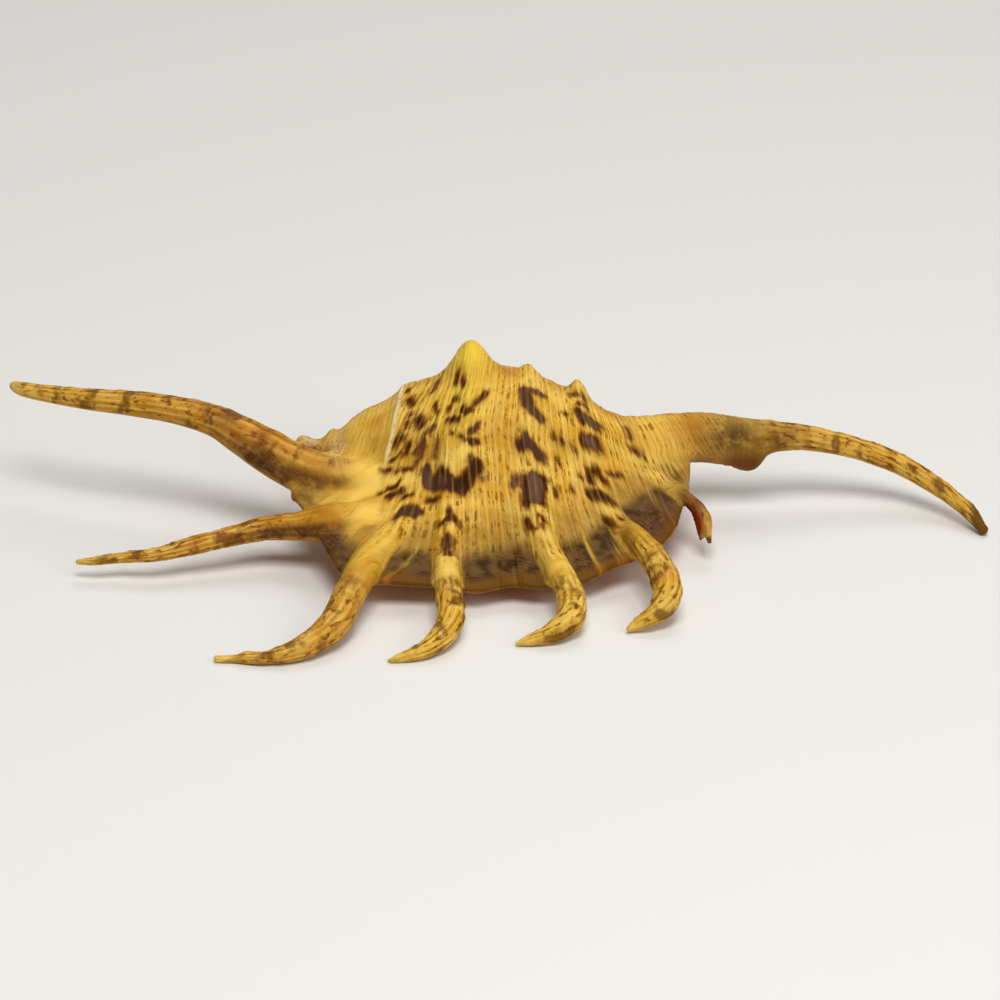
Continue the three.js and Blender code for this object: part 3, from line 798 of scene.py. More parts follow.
@dataclass
class SurfaceNet:
    """Meshes a distance on a grid: one vertex in each cell that the surface crosses, pulled onto it."""

    form: ShellForm
    low: tuple[float, float, float] = (-82.5, -55.5, -1.5)
    high: tuple[float, float, float] = (82.5, 15.5, 32.5)
    cell: float = 0.425
    block: int = 4
    reach: float = 1.05  # how near the surface a block is meshed, in blocks
    easings: tuple[float, ...] = (0.0, 0.5, 0.4)
    least_slope: float = 0.15
    farthest_pull: float = 0.6  # of a cell
    step: float = 0.05
    batch: int = 150000

    def build(self) -> tuple[Array, Array]:
        """Meshes the form.

        Returns:
            Vertices and quads.
        """
        low = np.array(self.low)
        blocks = np.ceil((np.array(self.high) - low) / (self.cell * self.block)).astype(int)
        wide = self.cell * self.block
        corners = np.argwhere(np.ones(tuple(blocks + 1), bool))
        values = self._in_turns(low + corners * wide).reshape(tuple(blocks + 1))
        closest = np.min(np.abs(self._corners(values)), axis=0)
        crossed = self._crossed(np.signbit(values)) | (closest < wide * self.reach)
        near = np.zeros(tuple(blocks * self.block + 1), bool)
        offsets = np.array(list(np.ndindex((self.block + 1,) * 3)))
        nodes = (np.argwhere(crossed)[:, None] * self.block + offsets).reshape(-1, 3)
        near[tuple(nodes.T)] = True
        grid = np.full(near.shape, np.nan, np.float32)
        grid[near] = self._in_turns(low + np.argwhere(near) * self.cell)
        vertices, quads = self._net(grid, near)
        return self._settle(low + vertices * self.cell, quads), quads

    def _corners(self, values: Array) -> list[Array]:
        """Returns what is at each of the eight corners of every cell."""
        return [values[tuple(slice(at, at + size - 1) for at, size in zip(corner, values.shape))]
                for corner in np.ndindex(2, 2, 2)]

    def _crossed(self, inside: Array) -> Array:
        """Returns which cells have some corners inside, but not all."""
        corners = self._corners(inside)
        return np.any(corners, axis=0) & ~np.all(corners, axis=0)

    def _in_turns(self, points: Array) -> Array:
        """Returns the distance for many points, some at a time."""
        return np.concatenate([self.form.distance(batch) for batch in batches(points, self.batch)])

    def _net(self, grid: Array, near: Array) -> tuple[Array, Array]:
        """Makes a vertex in each cell that the surface crosses and joins them.

        Args:
            grid: distances at the nodes, where they are known.
            near: which nodes are known.

        Returns:
            Vertices, in cells from the grid's first corner, and quads.
        """
        inside = grid < 0
        active = np.argwhere(np.all(self._corners(near), axis=0) & self._crossed(inside))
        number = np.full(np.array(grid.shape) - 1, -1)
        number[tuple(active.T)] = np.arange(len(active))
        quads = [self._quads(inside, near, number, axis) for axis in range(3)]
        return self._middles(grid, active), np.concatenate(quads)

    def _middles(self, grid: Array, active: Array) -> Array:
        """Finds the middle of the places where the surface crosses the edges of each cell.

        Args:
            grid: distances at the nodes.
            active: the first corners of the cells that are crossed.

        Returns:
            The middles, one a row.
        """
        total, count = np.zeros((len(active), 3)), np.zeros(len(active))
        for axis in range(3):
            for corner in (corner for corner in np.ndindex(2, 2, 2) if corner[axis] == 0):
                start = active + corner
                stop = start + np.eye(3, dtype=int)[axis]
                near, far = grid[tuple(start.T)], grid[tuple(stop.T)]
                cut = (near < 0) != (far < 0)
                place = start[cut].astype(float)
                place[:, axis] += near[cut] / (near[cut] - far[cut])
                total[cut] += place
                count[cut] += 1
        return total / count[:, None]

    def _quads(self, inside: Array, near: Array, number: Array, axis: int) -> Array:
        """Joins the vertices round each of the grid's edges, along one axis, that the surface crosses.

        Args:
            inside: which nodes are in the shell.
            near: which nodes are known.
            number: each cell's vertex, or -1.
            axis: the edges' direction.

        Returns:
            The quads, facing out.
        """
        here = [slice(1, -1)] * 3
        here[axis] = slice(0, -1)
        ahead = list(here)
        ahead[axis] = slice(1, None)
        here, ahead = tuple(here), tuple(ahead)
        shift = 1 - np.eye(3, dtype=int)[axis]
        edges = np.argwhere((inside[here] != inside[ahead]) & near[here] & near[ahead]) + shift
        ring = []
        for back in ((1, 1), (0, 1), (0, 0), (1, 0)):
            cells = edges.copy()
            cells[:, [(axis + 1) % 3, (axis + 2) % 3]] -= back
            ring.append(number[tuple(cells.T)])
        ring = np.stack(ring, 1)
        inward = ~inside[tuple(edges.T)]
        ring[inward] = ring[inward][:, ::-1]
        return ring[(ring >= 0).all(1)]

    def _settle(self, vertices: Array, quads: Array) -> Array:
        """Evens the vertices out along the surface and pulls them onto it.

        Args:
            vertices: places.
            quads: the faces.

        Returns:
            The settled places.
        """
        edges = np.concatenate([quads[:, [i, (i + 1) % 4]] for i in range(4)])
        degree = np.bincount(edges.ravel(), minlength=len(vertices))[:, None]
        for easing in self.easings:
            if easing:
                total = np.zeros_like(vertices)
                for axis in range(3):
                    ends = vertices[:, axis]
                    total[:, axis] = np.bincount(edges[:, 0], ends[edges[:, 1]], len(vertices))
                    total[:, axis] += np.bincount(edges[:, 1], ends[edges[:, 0]], len(vertices))
                vertices = vertices + easing * (total / degree - vertices)
            value, slope = self.gradient(vertices)
            square = np.maximum((slope ** 2).sum(1), self.least_slope)
            pull = slope * (value / square)[:, None]
            length = np.linalg.norm(pull, axis=1)[:, None]
            farthest = self.farthest_pull * self.cell
            vertices = vertices - pull * np.minimum(1, farthest / np.maximum(length, 1e-9))
        return vertices

    def gradient(self, points: Array) -> tuple[Array, Array]:
        """Measures the distance and how steeply it grows.

        Args:
            points: places, one a row.

        Returns:
            The distance and its slope at each point.
        """
        value = self._in_turns(points)
        slope = [(self._in_turns(points + self.step * side) - value) / self.step for side in np.eye(3)]
        return value, np.stack(slope, 1)


@dataclass
class Coordinates:
    """Where points lie in the shell's own grain."""

    cord: Array  # mm across the cords
    growth: Array  # mm along them
    on_lip: Array  # 1 on the lip, 0 off it
    digit: Array  # the finger's number, from 1, or 0
    on_digit: Array  # 1 on a finger, 0 off it
    share: Array  # how far along the finger, from 0 to 1
    turn: Array  # radians from the finger's or the canal's top
    out: Array  # mm run out along a finger, past the lip's edge
    spread: Array  # mm to one step of cord


@dataclass
class Grain:
    """The shell's own grain: the cords run round the body, fan out on the lip and follow the fingers."""

    form: ShellForm
    at_root: Table = field(default_factory=lambda: Table([
        [-20, -14], [-12, -8], [-8, -5], [4.9, 4.7], [14.6, 12.9], [22.6, 21], [27, 25.4], [31, 29.2]]))
    at_edge: Table = field(default_factory=lambda: Table([
        [-34, -15], [-27, -12], [-21.7, -8.5], [-8.3, -5], [8.9, 4.7], [21.8, 12.9], [28.5, 21],
        [31, 25.4]]))
    lip_root: float = -9.0
    lip_drop: float = 7.0
    lip_from: Span = (-0.6, 0.9)
    lip_angles: Span = (-12, 4)
    spire_from: Span = (-15.2, -16.2)
    spread_limits: Span = (0.5, 3)
    finger_girth: float = 1.2
    finger_from: Span = (1.2, 0.4)
    finger_leaves: Span = (-3, 1)
    canal_near: Span = (1.5, 0.5)
    canal_girth: float = 4.2
    canal_slant: float = 0.45
    canal_from: Span = (20, 27)
    canal_turns: Span = (36, 41)
    rear_start: float = 2.0
    rear_from: Span = (-22, -27)
    step: float = 0.2

    def __post_init__(self) -> None:
        """Finds where each finger runs past the lip's edge and how far its growth has come there."""
        self.starts = [(0.0, self.rear_start)]
        for finger, limb in list(zip(FINGERS, self.form.fingers))[1:]:
            leaves = limb.runs[len(finger.ridge) * limb.per_row]
            x = np.array([finger.free[0][0]])
            self.starts.append((leaves, float(self._lip_growth(x, np.ones(1))[0]) - leaves))

    def _lip_growth(self, x: Array, part: Array) -> Array:
        """Returns the mm grown from the top of the back to a place on the lip."""
        root = np.radians(self.form.lip.along(x, 0)) * self.form.whorls.along_back(x)
        return root + part * np.hypot(self.form.lip.along(x, 2) - self.lip_root, self.lip_drop)

    def read(self, points: Array, at: Place) -> Coordinates:
        """Reads the grain.

        Args:
            points: places, one a row.
            at: where they lie on the forms.

        Returns:
            The coordinates.
        """
        x = points[:, 0]
        leaves = self.form.lip.along(x, 0)
        girth = self.form.whorls.along_back(x)
        on_lip = smoothstep(at.body - at.lip.distance, *self.lip_from)
        on_lip *= smoothstep(at.angle - leaves, *self.lip_angles)
        cord = self._cord(x, at, on_lip)
        spread = self.step / (self._cord(x + self.step, at, on_lip) - cord)
        growth = np.radians(at.angle) * girth
        growth += (self._lip_growth(x, at.lip.part) - growth) * on_lip
        blank = (np.zeros(len(x)) for _ in range(5))
        spread = np.clip(spread, *self.spread_limits)
        return self._on_limbs(points, at, Coordinates(cord, growth, on_lip, *blank, spread))

    def _cord(self, x: Array, at: Place, on_lip: Array) -> Array:
        """Finds the place across the cords on the body, the spire and the lip.

        Args:
            x: places along the coiling line.
            at: where the points lie on the forms.
            on_lip: how far they are on the lip, 0 to 1.

        Returns:
            The cord at each point.
        """
        round_body = np.clip(at.angle / self.form.lip.along(x, 0), 0, 1)
        turned = x + self.form.whorls.drift(x, at.angle)
        on_spire = smoothstep(turned, *self.spire_from)
        on_body = x + (self.at_root(x) - x) * round_body
        on_body += (turned - on_body) * on_spire
        lip_cord = self.at_root(x) + (self.at_edge(x) - self.at_root(x)) * at.lip.part
        return on_body + (lip_cord - on_body) * on_lip

    def _on_limbs(self, points: Array, at: Place, grain: Coordinates) -> Coordinates:
        """Bends the grain along the fingers and the canal.

        Args:
            points: places, one a row.
            at: where they lie on the forms.
            grain: their coordinates on body and lip, which are changed.

        Returns:
            The coordinates.
        """
        for number, (finger, limb, (leaves, start)) in enumerate(zip(at.fingers, FINGERS, self.starts)):
            free = smoothstep(finger.run - leaves, *self.finger_leaves)
            if number == 0:
                free = smoothstep(points[:, 0], *self.rear_from)
            share = smoothstep(finger.distance, *self.finger_from) * free
            cord = limb.cord + finger.turn * self.finger_girth
            grain.cord += (cord - grain.cord) * share
            grain.growth += (start + finger.run - grain.growth) * share
            better = share > grain.on_digit
            grain.digit = np.where(better, number + 1, grain.digit)
            grain.share = np.where(better, finger.share, grain.share)
            grain.turn = np.where(better, finger.turn, grain.turn)
            grain.out = np.where(better, finger.run - leaves, grain.out)
            grain.on_digit = np.maximum(grain.on_digit, share)
        on_canal = smoothstep(points[:, 0], *self.canal_from)
        on_canal *= smoothstep(at.canal.distance, *self.canal_near)
        along = smoothstep(points[:, 0], *self.canal_turns)
        turn = at.canal.turn
        across = points[:, 0] + self.canal_slant * self.canal_girth * turn
        cord = across + (self.canal_turns[0] + self.finger_girth * turn - across) * along
        growth = -turn * self.canal_girth * (1 - along) + points[:, 0] * along
        grain.cord += (cord - grain.cord) * on_canal
        grain.growth += (growth - grain.growth) * on_canal
        grain.turn = np.where(on_canal > 0.5, turn, grain.turn)
        return grain


class Trait(Enum):
    """What each point of the shell carries for its relief and its finish, as attributes of the mesh."""

    CORD = "cord"
    GROWTH = "growth"
    THREADED = "threaded"
    RIBBED = "ribbed"
    SWELL = "swell"
    BLOTCH = "blotch"
    HEART = "heart"
    PALE = "pale"
    LEMON = "lemon"
    RICH = "rich"
    AMBER = "amber"
    UMBER = "umber"
    LILAC = "lilac"
    SMOKE = "smoke"
    RUSSET = "russet"
    CHALK = "chalk"
    SEAM = "seam"
    ENAMEL = "enamel"
    DEPTH = "depth"


@dataclass(frozen=True)
class Mark:
    """A stroke of dark colour."""

    path: Route  # places along it, as cord and growth
    half: float  # its half width
    heart: float = 0.0  # how grey its middle has gone


# the near side's marks: half width, greyness, then cord and growth of each place on the route
STROKES: Rows = [
    [0.28, 0, -14.5, 1, -14.4, 1.5], [0.36, 0, -13.3, 3.7, -12.1, 4.9], [0.2, 0, -11.8, 6.5, -11.7, 6.9],
    [0.24, 0, -11.7, 8, -11.5, 8.7], [0.5, 0, -10.3, 7.8, -9.2, 9.1], [0.38, 0, -11.7, 9.9, -11.5, 10.3],
    [0.2, 0, -12.6, 9, -12.3, 9.6], [0.36, 0, -10, 11.7, -10.3, 13.6],
    [0.38, 0, -11.2, 12.6, -11.9, 12.3], [0.22, 0, -12.7, 13.5, -12.5, 13.7],
    [0.2, 0, -12, 13.9, -11.5, 14.3], [0.2, 0, -10.9, 15.1, -10.4, 16], [0.2, 0, -9.9, 16.2, -9.1, 16.1],
    [0.36, 0, -11.1, 17.8, -10.3, 18.1], [0.2, 0, -11.8, 18.1, -11.5, 18.2],
    [0.34, 0, -10.9, 19.2, -9.5, 20.1], [0.22, 0, -9.2, 21.4, -8.5, 20.9],
    [0.34, 0, -7.9, 23.6, -7.3, 23.8], [0.95, 0.2, -8, 23.9, -8.6, 24.3, -8.9, 24.7],
    [0.24, 0.9, -9.7, 1.3, -9.8, 3.5], [0.24, 0, -8.4, 6.2, -7.7, 7.8],
    [0.24, 0.9, -7.3, 10.2, -7.8, 10.5], [0.26, 0.6, -8.2, 11.8, -8.6, 14],
    [0.24, 0.6, -8.5, 12, -9.1, 13.4], [0.26, 0.7, -8, 12.9, -8.4, 14.6],
    [0.26, 0.7, -8.6, 14.8, -9, 16.1], [0.18, 0.9, -6.5, 12.5, -6.8, 15.2],
    [0.36, 0, -6.3, 2.3, -6.4, 3.1], [0.26, 0, -5.4, 3.4, -4.9, 4.4], [0.36, 0, -5.6, 6.3, -5.4, 6.7],
    [0.4, 0, -1.5, 6.2, -2, 6.9, -2.5, 8.1], [0.38, 0, -4.2, 8.6, -3.6, 9.4, -3, 9.2],
    [0.34, 0, -5.7, 9.7, -4.2, 10.2], [0.2, 0, -6.2, 7.6, -6.1, 7.9],
    [0.36, 0, -1.7, 11.8, -2.1, 12.5, -2.7, 12.7], [0.42, 0, -2.7, 14.3, -1.9, 14.4],
    [0.2, 0, -3.8, 13, -3.4, 13.9, -2.8, 14.2], [0.2, 0, -4.9, 12, -4.7, 12.2],
    [0.85, 0.5, -7.5, 17.1, -7.2, 18.6, -5.9, 20], [0.95, 0, -5.9, 18.8, -5.4, 20.4],
    [0.95, 0, -5, 20.4, -3.7, 21], [0.95, 0, -2, 18.2, -2.7, 19.4, -3.6, 21],
    [0.3, 0, -1.6, 17.7, -2, 19.3], [0.24, 0, -1.5, 19.7, -1.5, 20], [0.26, 0, -2.8, 17, -2.8, 18.2],
    [0.3, 0, -7, 21.9, -6.1, 22.1], [0.38, 0, -5, 24.7, -4.7, 25.3, -4.4, 26.2],
    [0.36, 0, -5, 25.7, -5.7, 26.9], [0.22, 0, -3.9, 26.4, -3.9, 27.3], [0.2, 0, -5.4, 30, -5.5, 33],
    [0.22, 0, -5.1, 29.5, -5.2, 34.2], [0.22, 0, -4.8, 29.6, -4.9, 34.6], [0.2, 0, -4.5, 30.1, -4.6, 34],
    [0.95, 0.3, 4, 4.9, 4.3, 6.9], [0.4, 0.8, 4.6, 4.3, 6, 3.7, 6.7, 4.1],
    [0.58, 0.5, 4.6, 7.5, 5.5, 8, 6.1, 8.6], [0.62, 0, 4.1, 12.6, 3.8, 13, 3.1, 14],
    [0.7, 0.4, 4.1, 12.6, 4.8, 13.5, 5.6, 14.1], [0.22, 0, 3.9, 15.6, 3.9, 15.9],
    [0.6, 0, 3.4, 18.4, 3, 22], [0.6, 0, 5.3, 17.8, 4.9, 21.4], [1.05, 0.8, 4.4, 18.2, 4.2, 20.8],
    [0.55, 0, 3.7, 21.4, 4.7, 21.3], [0.22, 0, 1.9, 18.8, 1.8, 19.9], [0.22, 0, 2.5, 18.4, 2.4, 19.5],
    [0.2, 0, 5.8, 17.2, 6, 17.4], [0.22, 0, 6.7, 18.3, 6.7, 18.8], [0.34, 0, 2.9, 24.9, 3.1, 25.7],
    [0.3, 0, 4.3, 24, 4.7, 24.8], [0.26, 0, 3.6, 26, 3.7, 26.3], [0.26, 0, 4.4, 25.6, 4.4, 25.9],
    [0.2, 0, 11.3, 1.4, 12.2, 1.4, 13.4, 1.3], [0.18, 0, 12.1, 2.7, 13, 2.3, 13.5, 2.4],
    [0.62, 0, 11.8, 4.2, 12, 5.4], [0.66, 0.8, 12.8, 4.6, 13.8, 4.6], [0.2, 0, 14.8, 4.2, 15, 4.2],
    [0.52, 0, 11.8, 8.1, 11.7, 8.8], [0.68, 1.0, 12.4, 8.1, 13.1, 7.6], [0.5, 0, 13.7, 7.1, 13.8, 7.2],
    [0.2, 0, 10.1, 10.4, 10.1, 10.6], [0.52, 0, 11.6, 12.5, 11.3, 13.8],
    [0.36, 0, 11.6, 12.4, 12.8, 11.1, 12.8, 11.9, 13.4, 11.8], [0.16, 0, 14.1, 10.4, 16, 9.2],
    [0.18, 0, 10, 14.1, 10.1, 14.2], [0.48, 0, 10.7, 16.2, 11.7, 15.3, 12.5, 15, 13.2, 14.5],
    [0.32, 0, 11.5, 18.7, 11.9, 18.5], [0.2, 0, 13, 17.6, 13.1, 17.5], [0.26, 0, 7.7, 9.9, 7.7, 10.7],
    [0.22, 0, 9.3, 5.8, 9.8, 5.7], [0.2, 0, 8.8, 10.1, 8.8, 10.5], [0.22, 0, 7.5, 13.2, 7.6, 13.9],
    [0.2, 0, 8.7, 16.6, 8.7, 16.9], [0.24, 0.9, 19.6, 2.1, 19.5, 3.3], [0.26, 0, 19.1, 4.9, 19.9, 5],
    [0.16, 0, 20.6, 5.3, 20.7, 5.5],
]


@dataclass
class Markings:
    """The dark marks on the cords: those of the near side as they are, those of the far side by rule."""

    far_cords: Route = ((-5.0, 1.0), (4.7, 0.8), (12.9, 0.7), (-10.5, 0.5))  # cord, size of its marks
    far_start: float = -3.0
    far_reach: float = -34.0
    far_steps: Span = (2.6, 5.2)
    far_lean: float = 0.9
    far_seed: int = 7
    stretch: float = 0.8  # how a mm along the cords counts beside one across them
    bleed: float = 0.14  # how far the colour runs beyond a stroke, in mm
    margin: float = 3.0  # how far from a stroke points are still measured, in mm

    def _near_side(self) -> list[Mark]:
        """Returns the marks that were drawn."""
        return [Mark(tuple(zip(row[2::2], row[3::2])), *row[:2]) for row in STROKES]

    def _far_side(self) -> list[Mark]:
        """Makes the marks along the cords round the far side: bent bars and blocks, at uneven steps.

        Returns:
            The marks.
        """
        chance = np.random.default_rng(self.far_seed)
        marks = []
        for cord, size in self.far_cords:
            growth = self.far_start
            while growth > self.far_reach:
                growth -= chance.uniform(*self.far_steps)
                lean = chance.uniform(-self.far_lean, self.far_lean)
                wide = size * chance.uniform(0.7, 1.3)
                middle = (cord, growth + 0.5)
                route = ((cord - wide, growth + lean), middle, (cord + wide, growth - lean * 0.6))
                half = 0.5 * size * chance.uniform(0.7, 1.25)
                marks.append(Mark(route, half, chance.choice([0.0, 0.0, 0.9])))
        return marks

    def read(self, grain: Coordinates) -> tuple[Array, Array]:
        """Measures how far inside a mark each point is.

        Args:
            grain: the points' coordinates.

        Returns:
            The mm inside, negative outside, and how grey it is there.
        """
        inside, heart = np.full(len(grain.cord), -self.margin), np.zeros(len(grain.cord))
        for mark in (*self._near_side(), *self._far_side()):
            path = np.array(mark.path)
            reach = mark.half + self.margin
            near = (grain.cord > path[:, 0].min() - reach) & (grain.cord < path[:, 0].max() + reach)
            near &= (grain.growth > path[:, 1].min() - reach) & (grain.growth < path[:, 1].max() + reach)
            pick = np.flatnonzero(near)
            stretch = np.stack([grain.spread[pick], np.full(len(pick), self.stretch)], 1)
            spot = np.stack([grain.cord[pick], grain.growth[pick]], 1)
            away = np.full(len(pick), FAR)
            for start, stop in zip(path[:-1], path[1:]):
                leg = (stop - start) * stretch
                offset = (spot - start) * stretch
                share = np.clip((offset * leg).sum(1) / (leg ** 2).sum(1), 0, 1)
                away = np.minimum(away, np.linalg.norm(offset - leg * share[:, None], axis=1))
            value = mark.half + self.bleed - away
            inside[pick] = np.maximum(inside[pick], value)
            heart[pick] = np.maximum(heart[pick], mark.heart * smoothstep(value, -0.1, 0.3))
        return inside - self.margin * grain.on_digit, heart


# soft patches of each tone: the middle's x, y and z, the reach along x, y and z, and the strength
PATCHES: dict[Trait, Rows] = {
    Trait.LEMON: [
        # the knob's deep yellow top and front: partly its own colour, partly a painted highlight
        [-4.9, 0, 29.6, 4, 6, 3.2, 1], [-5.5, -6, 24.5, 4.5, 5, 4, 0.5],
    ],
    Trait.PALE: [
        # the patch at x -7.2 on the shoulder knob is partly a painted highlight and the one at x -20.5 is a
        # painted glint; the others are pale spots
        [-7.2, -15.8, 18.1, 4, 2.6, 2.4, 0.85], [-24.2, -12.1, 14.2, 3.4, 1.7, 1.8, 1],
        [-19, -13.5, 12.2, 6.5, 4, 2.5, 0.75], [-20.5, -19.5, 11, 2.5, 2, 2, 0.6],
        [5.8, -15.3, 15.4, 1.8, 2, 2, 0.9], [5, -9.6, 20.4, 1.6, 1.3, 1.5, 0.8],
        [6.2, -21.4, 10.9, 1.6, 1, 1.3, 0.6], [7, -26, 9.5, 1.7, 2, 1.5, 0.8],
        [14.6, -9.2, 14.3, 2.2, 1.3, 1.6, 0.9], [15.6, -12.7, 11.8, 1.3, 1, 1.2, 1],
        [14.2, -5.9, 18.2, 2.6, 0.9, 1.2, 0.7], [18, -17.6, 9.6, 2, 1.2, 1.2, 0.5],
        [-8, -35.6, 7.8, 2.4, 2, 2.4, 0.9], [5.2, -1.2, 25.2, 1.2, 1.4, 1.2, 0.7],
        [13.5, 0.2, 22.4, 1.2, 1.6, 1.5, 0.8], [22.7, -5.6, 12.8, 1.6, 1, 1, 0.5],
    ],
    Trait.RICH: [
        [1, 0.5, 25.6, 2.2, 3, 2, 0.8], [9.5, 1.5, 22.8, 2.5, 3, 2, 0.7], [18, 1.5, 18, 3, 2.5, 2.5, 0.6],
        [31, -1, 16, 3.5, 4, 4.5, 0.9], [-19.5, -4, 17.5, 2.5, 3, 3, 0.5], [12, -19, 9.5, 3, 4, 2, 0.4],
        [0, -9, 19, 3, 8, 7, 0.4], [-13, -26, 9, 2.5, 3, 2, 0.5], [22, -12, 10, 3, 3, 2, 0.5],
    ],
    Trait.AMBER: [
        [41.6, 0, 8.6, 4.6, 6, 4.4, 1], [27.2, -20.8, 7, 1.3, 4, 2, 0.8],
    ],
    Trait.RUSSET: [
        [33.5, 0, 9.4, 4, 5, 1.9, 0.7], [38, 0, 9, 3.4, 4, 1.9, 0.7], [31.2, -17.4, 6, 1.9, 4.5, 4, 1.3],
        [28.2, -17.5, 6.8, 1.3, 4, 2, 0.35], [-38.4, -8.6, 18.2, 1, 2, 1.6, 0.5],
        [-43, -7.5, 18, 1.4, 3, 3, 0.35],
    ],
    Trait.LILAC: [
        [-10.3, -11.6, 18, 0.8, 2.2, 2.2, 0.7], [-13, -11, 16.8, 1.6, 2.4, 2.5, 0.55],
        [-32.5, -15.4, 10.8, 5, 2.6, 2.4, 0.8], [-30.6, -13.9, 12, 3.6, 2.4, 2.2, 0.9],
        [-37, -12.3, 13.5, 4, 1.8, 2, 0.9], [-26.5, -26.2, 8, 3.2, 3.6, 2, 0.9],
        [38.4, 0, 14, 6, 6, 3.8, 1], [45, 1.5, 13.4, 5.5, 3, 2.2, 0.75],
        [31, -13.4, 8.8, 3, 3.6, 3, 0.85], [-28.4, -27, 6.6, 1.6, 5, 1.6, 0.5],
        [-45, -5.6, 19, 2, 3, 3, 0.55], [25.2, -19, 7.8, 3, 5, 2.4, 1], [28.4, -9, 10.6, 2, 3, 1.8, 0.5],
        [0.8, -22.5, 9, 3.5, 2, 2, 0.3], [21, -18, 9, 1.6, 3, 2, 0.6], [41.5, 1, 13.2, 4, 4, 2.2, 0.9],
    ],
    Trait.SMOKE: [
        [29.7, -12.3, 9.9, 1.7, 2.2, 1.6, 0.6], [29, -9.5, 10.4, 1.8, 2.4, 1.8, 0.4],
        [25.9, -12.6, 9.2, 2.6, 2.4, 2, 0.6], [31, -14, 8.4, 1.6, 2, 2, 0.4],
        [20.2, -24, 8, 1.2, 3.5, 2, 0.6],
    ],
    Trait.UMBER: [
        [-38.7, -9, 17.2, 1.6, 2.6, 1.8, 0.9], [-30.5, -19.2, 11.2, 2.6, 1, 1, 0.8],
        [-8, -38.4, 7, 2.6, 1, 2.4, 0.9], [10.9, -39, 6.6, 2.6, 2, 2.4, 0.55],
        [-23.5, -41, 8, 2, 3.5, 2, 0.5], [-20.5, -6, 16, 1.3, 2, 1.6, 0.4],
        [-27.2, -11.2, 14.8, 1.1, 1.3, 0.9, 1], [-24.6, -11, 14.6, 1, 0.8, 0.8, 0.7],
    ],
    Trait.CHALK: [
        [-22.9, 0.2, 18.4, 1, 1.6, 0.9, 1], [-27, -5, 15.2, 2, 4, 3.4, 0.9], [-31.5, 0, 13, 2.6, 3, 3, 1],
        [31.2, -14.8, 8.6, 1.8, 2.6, 2, 0.45],
    ],
}


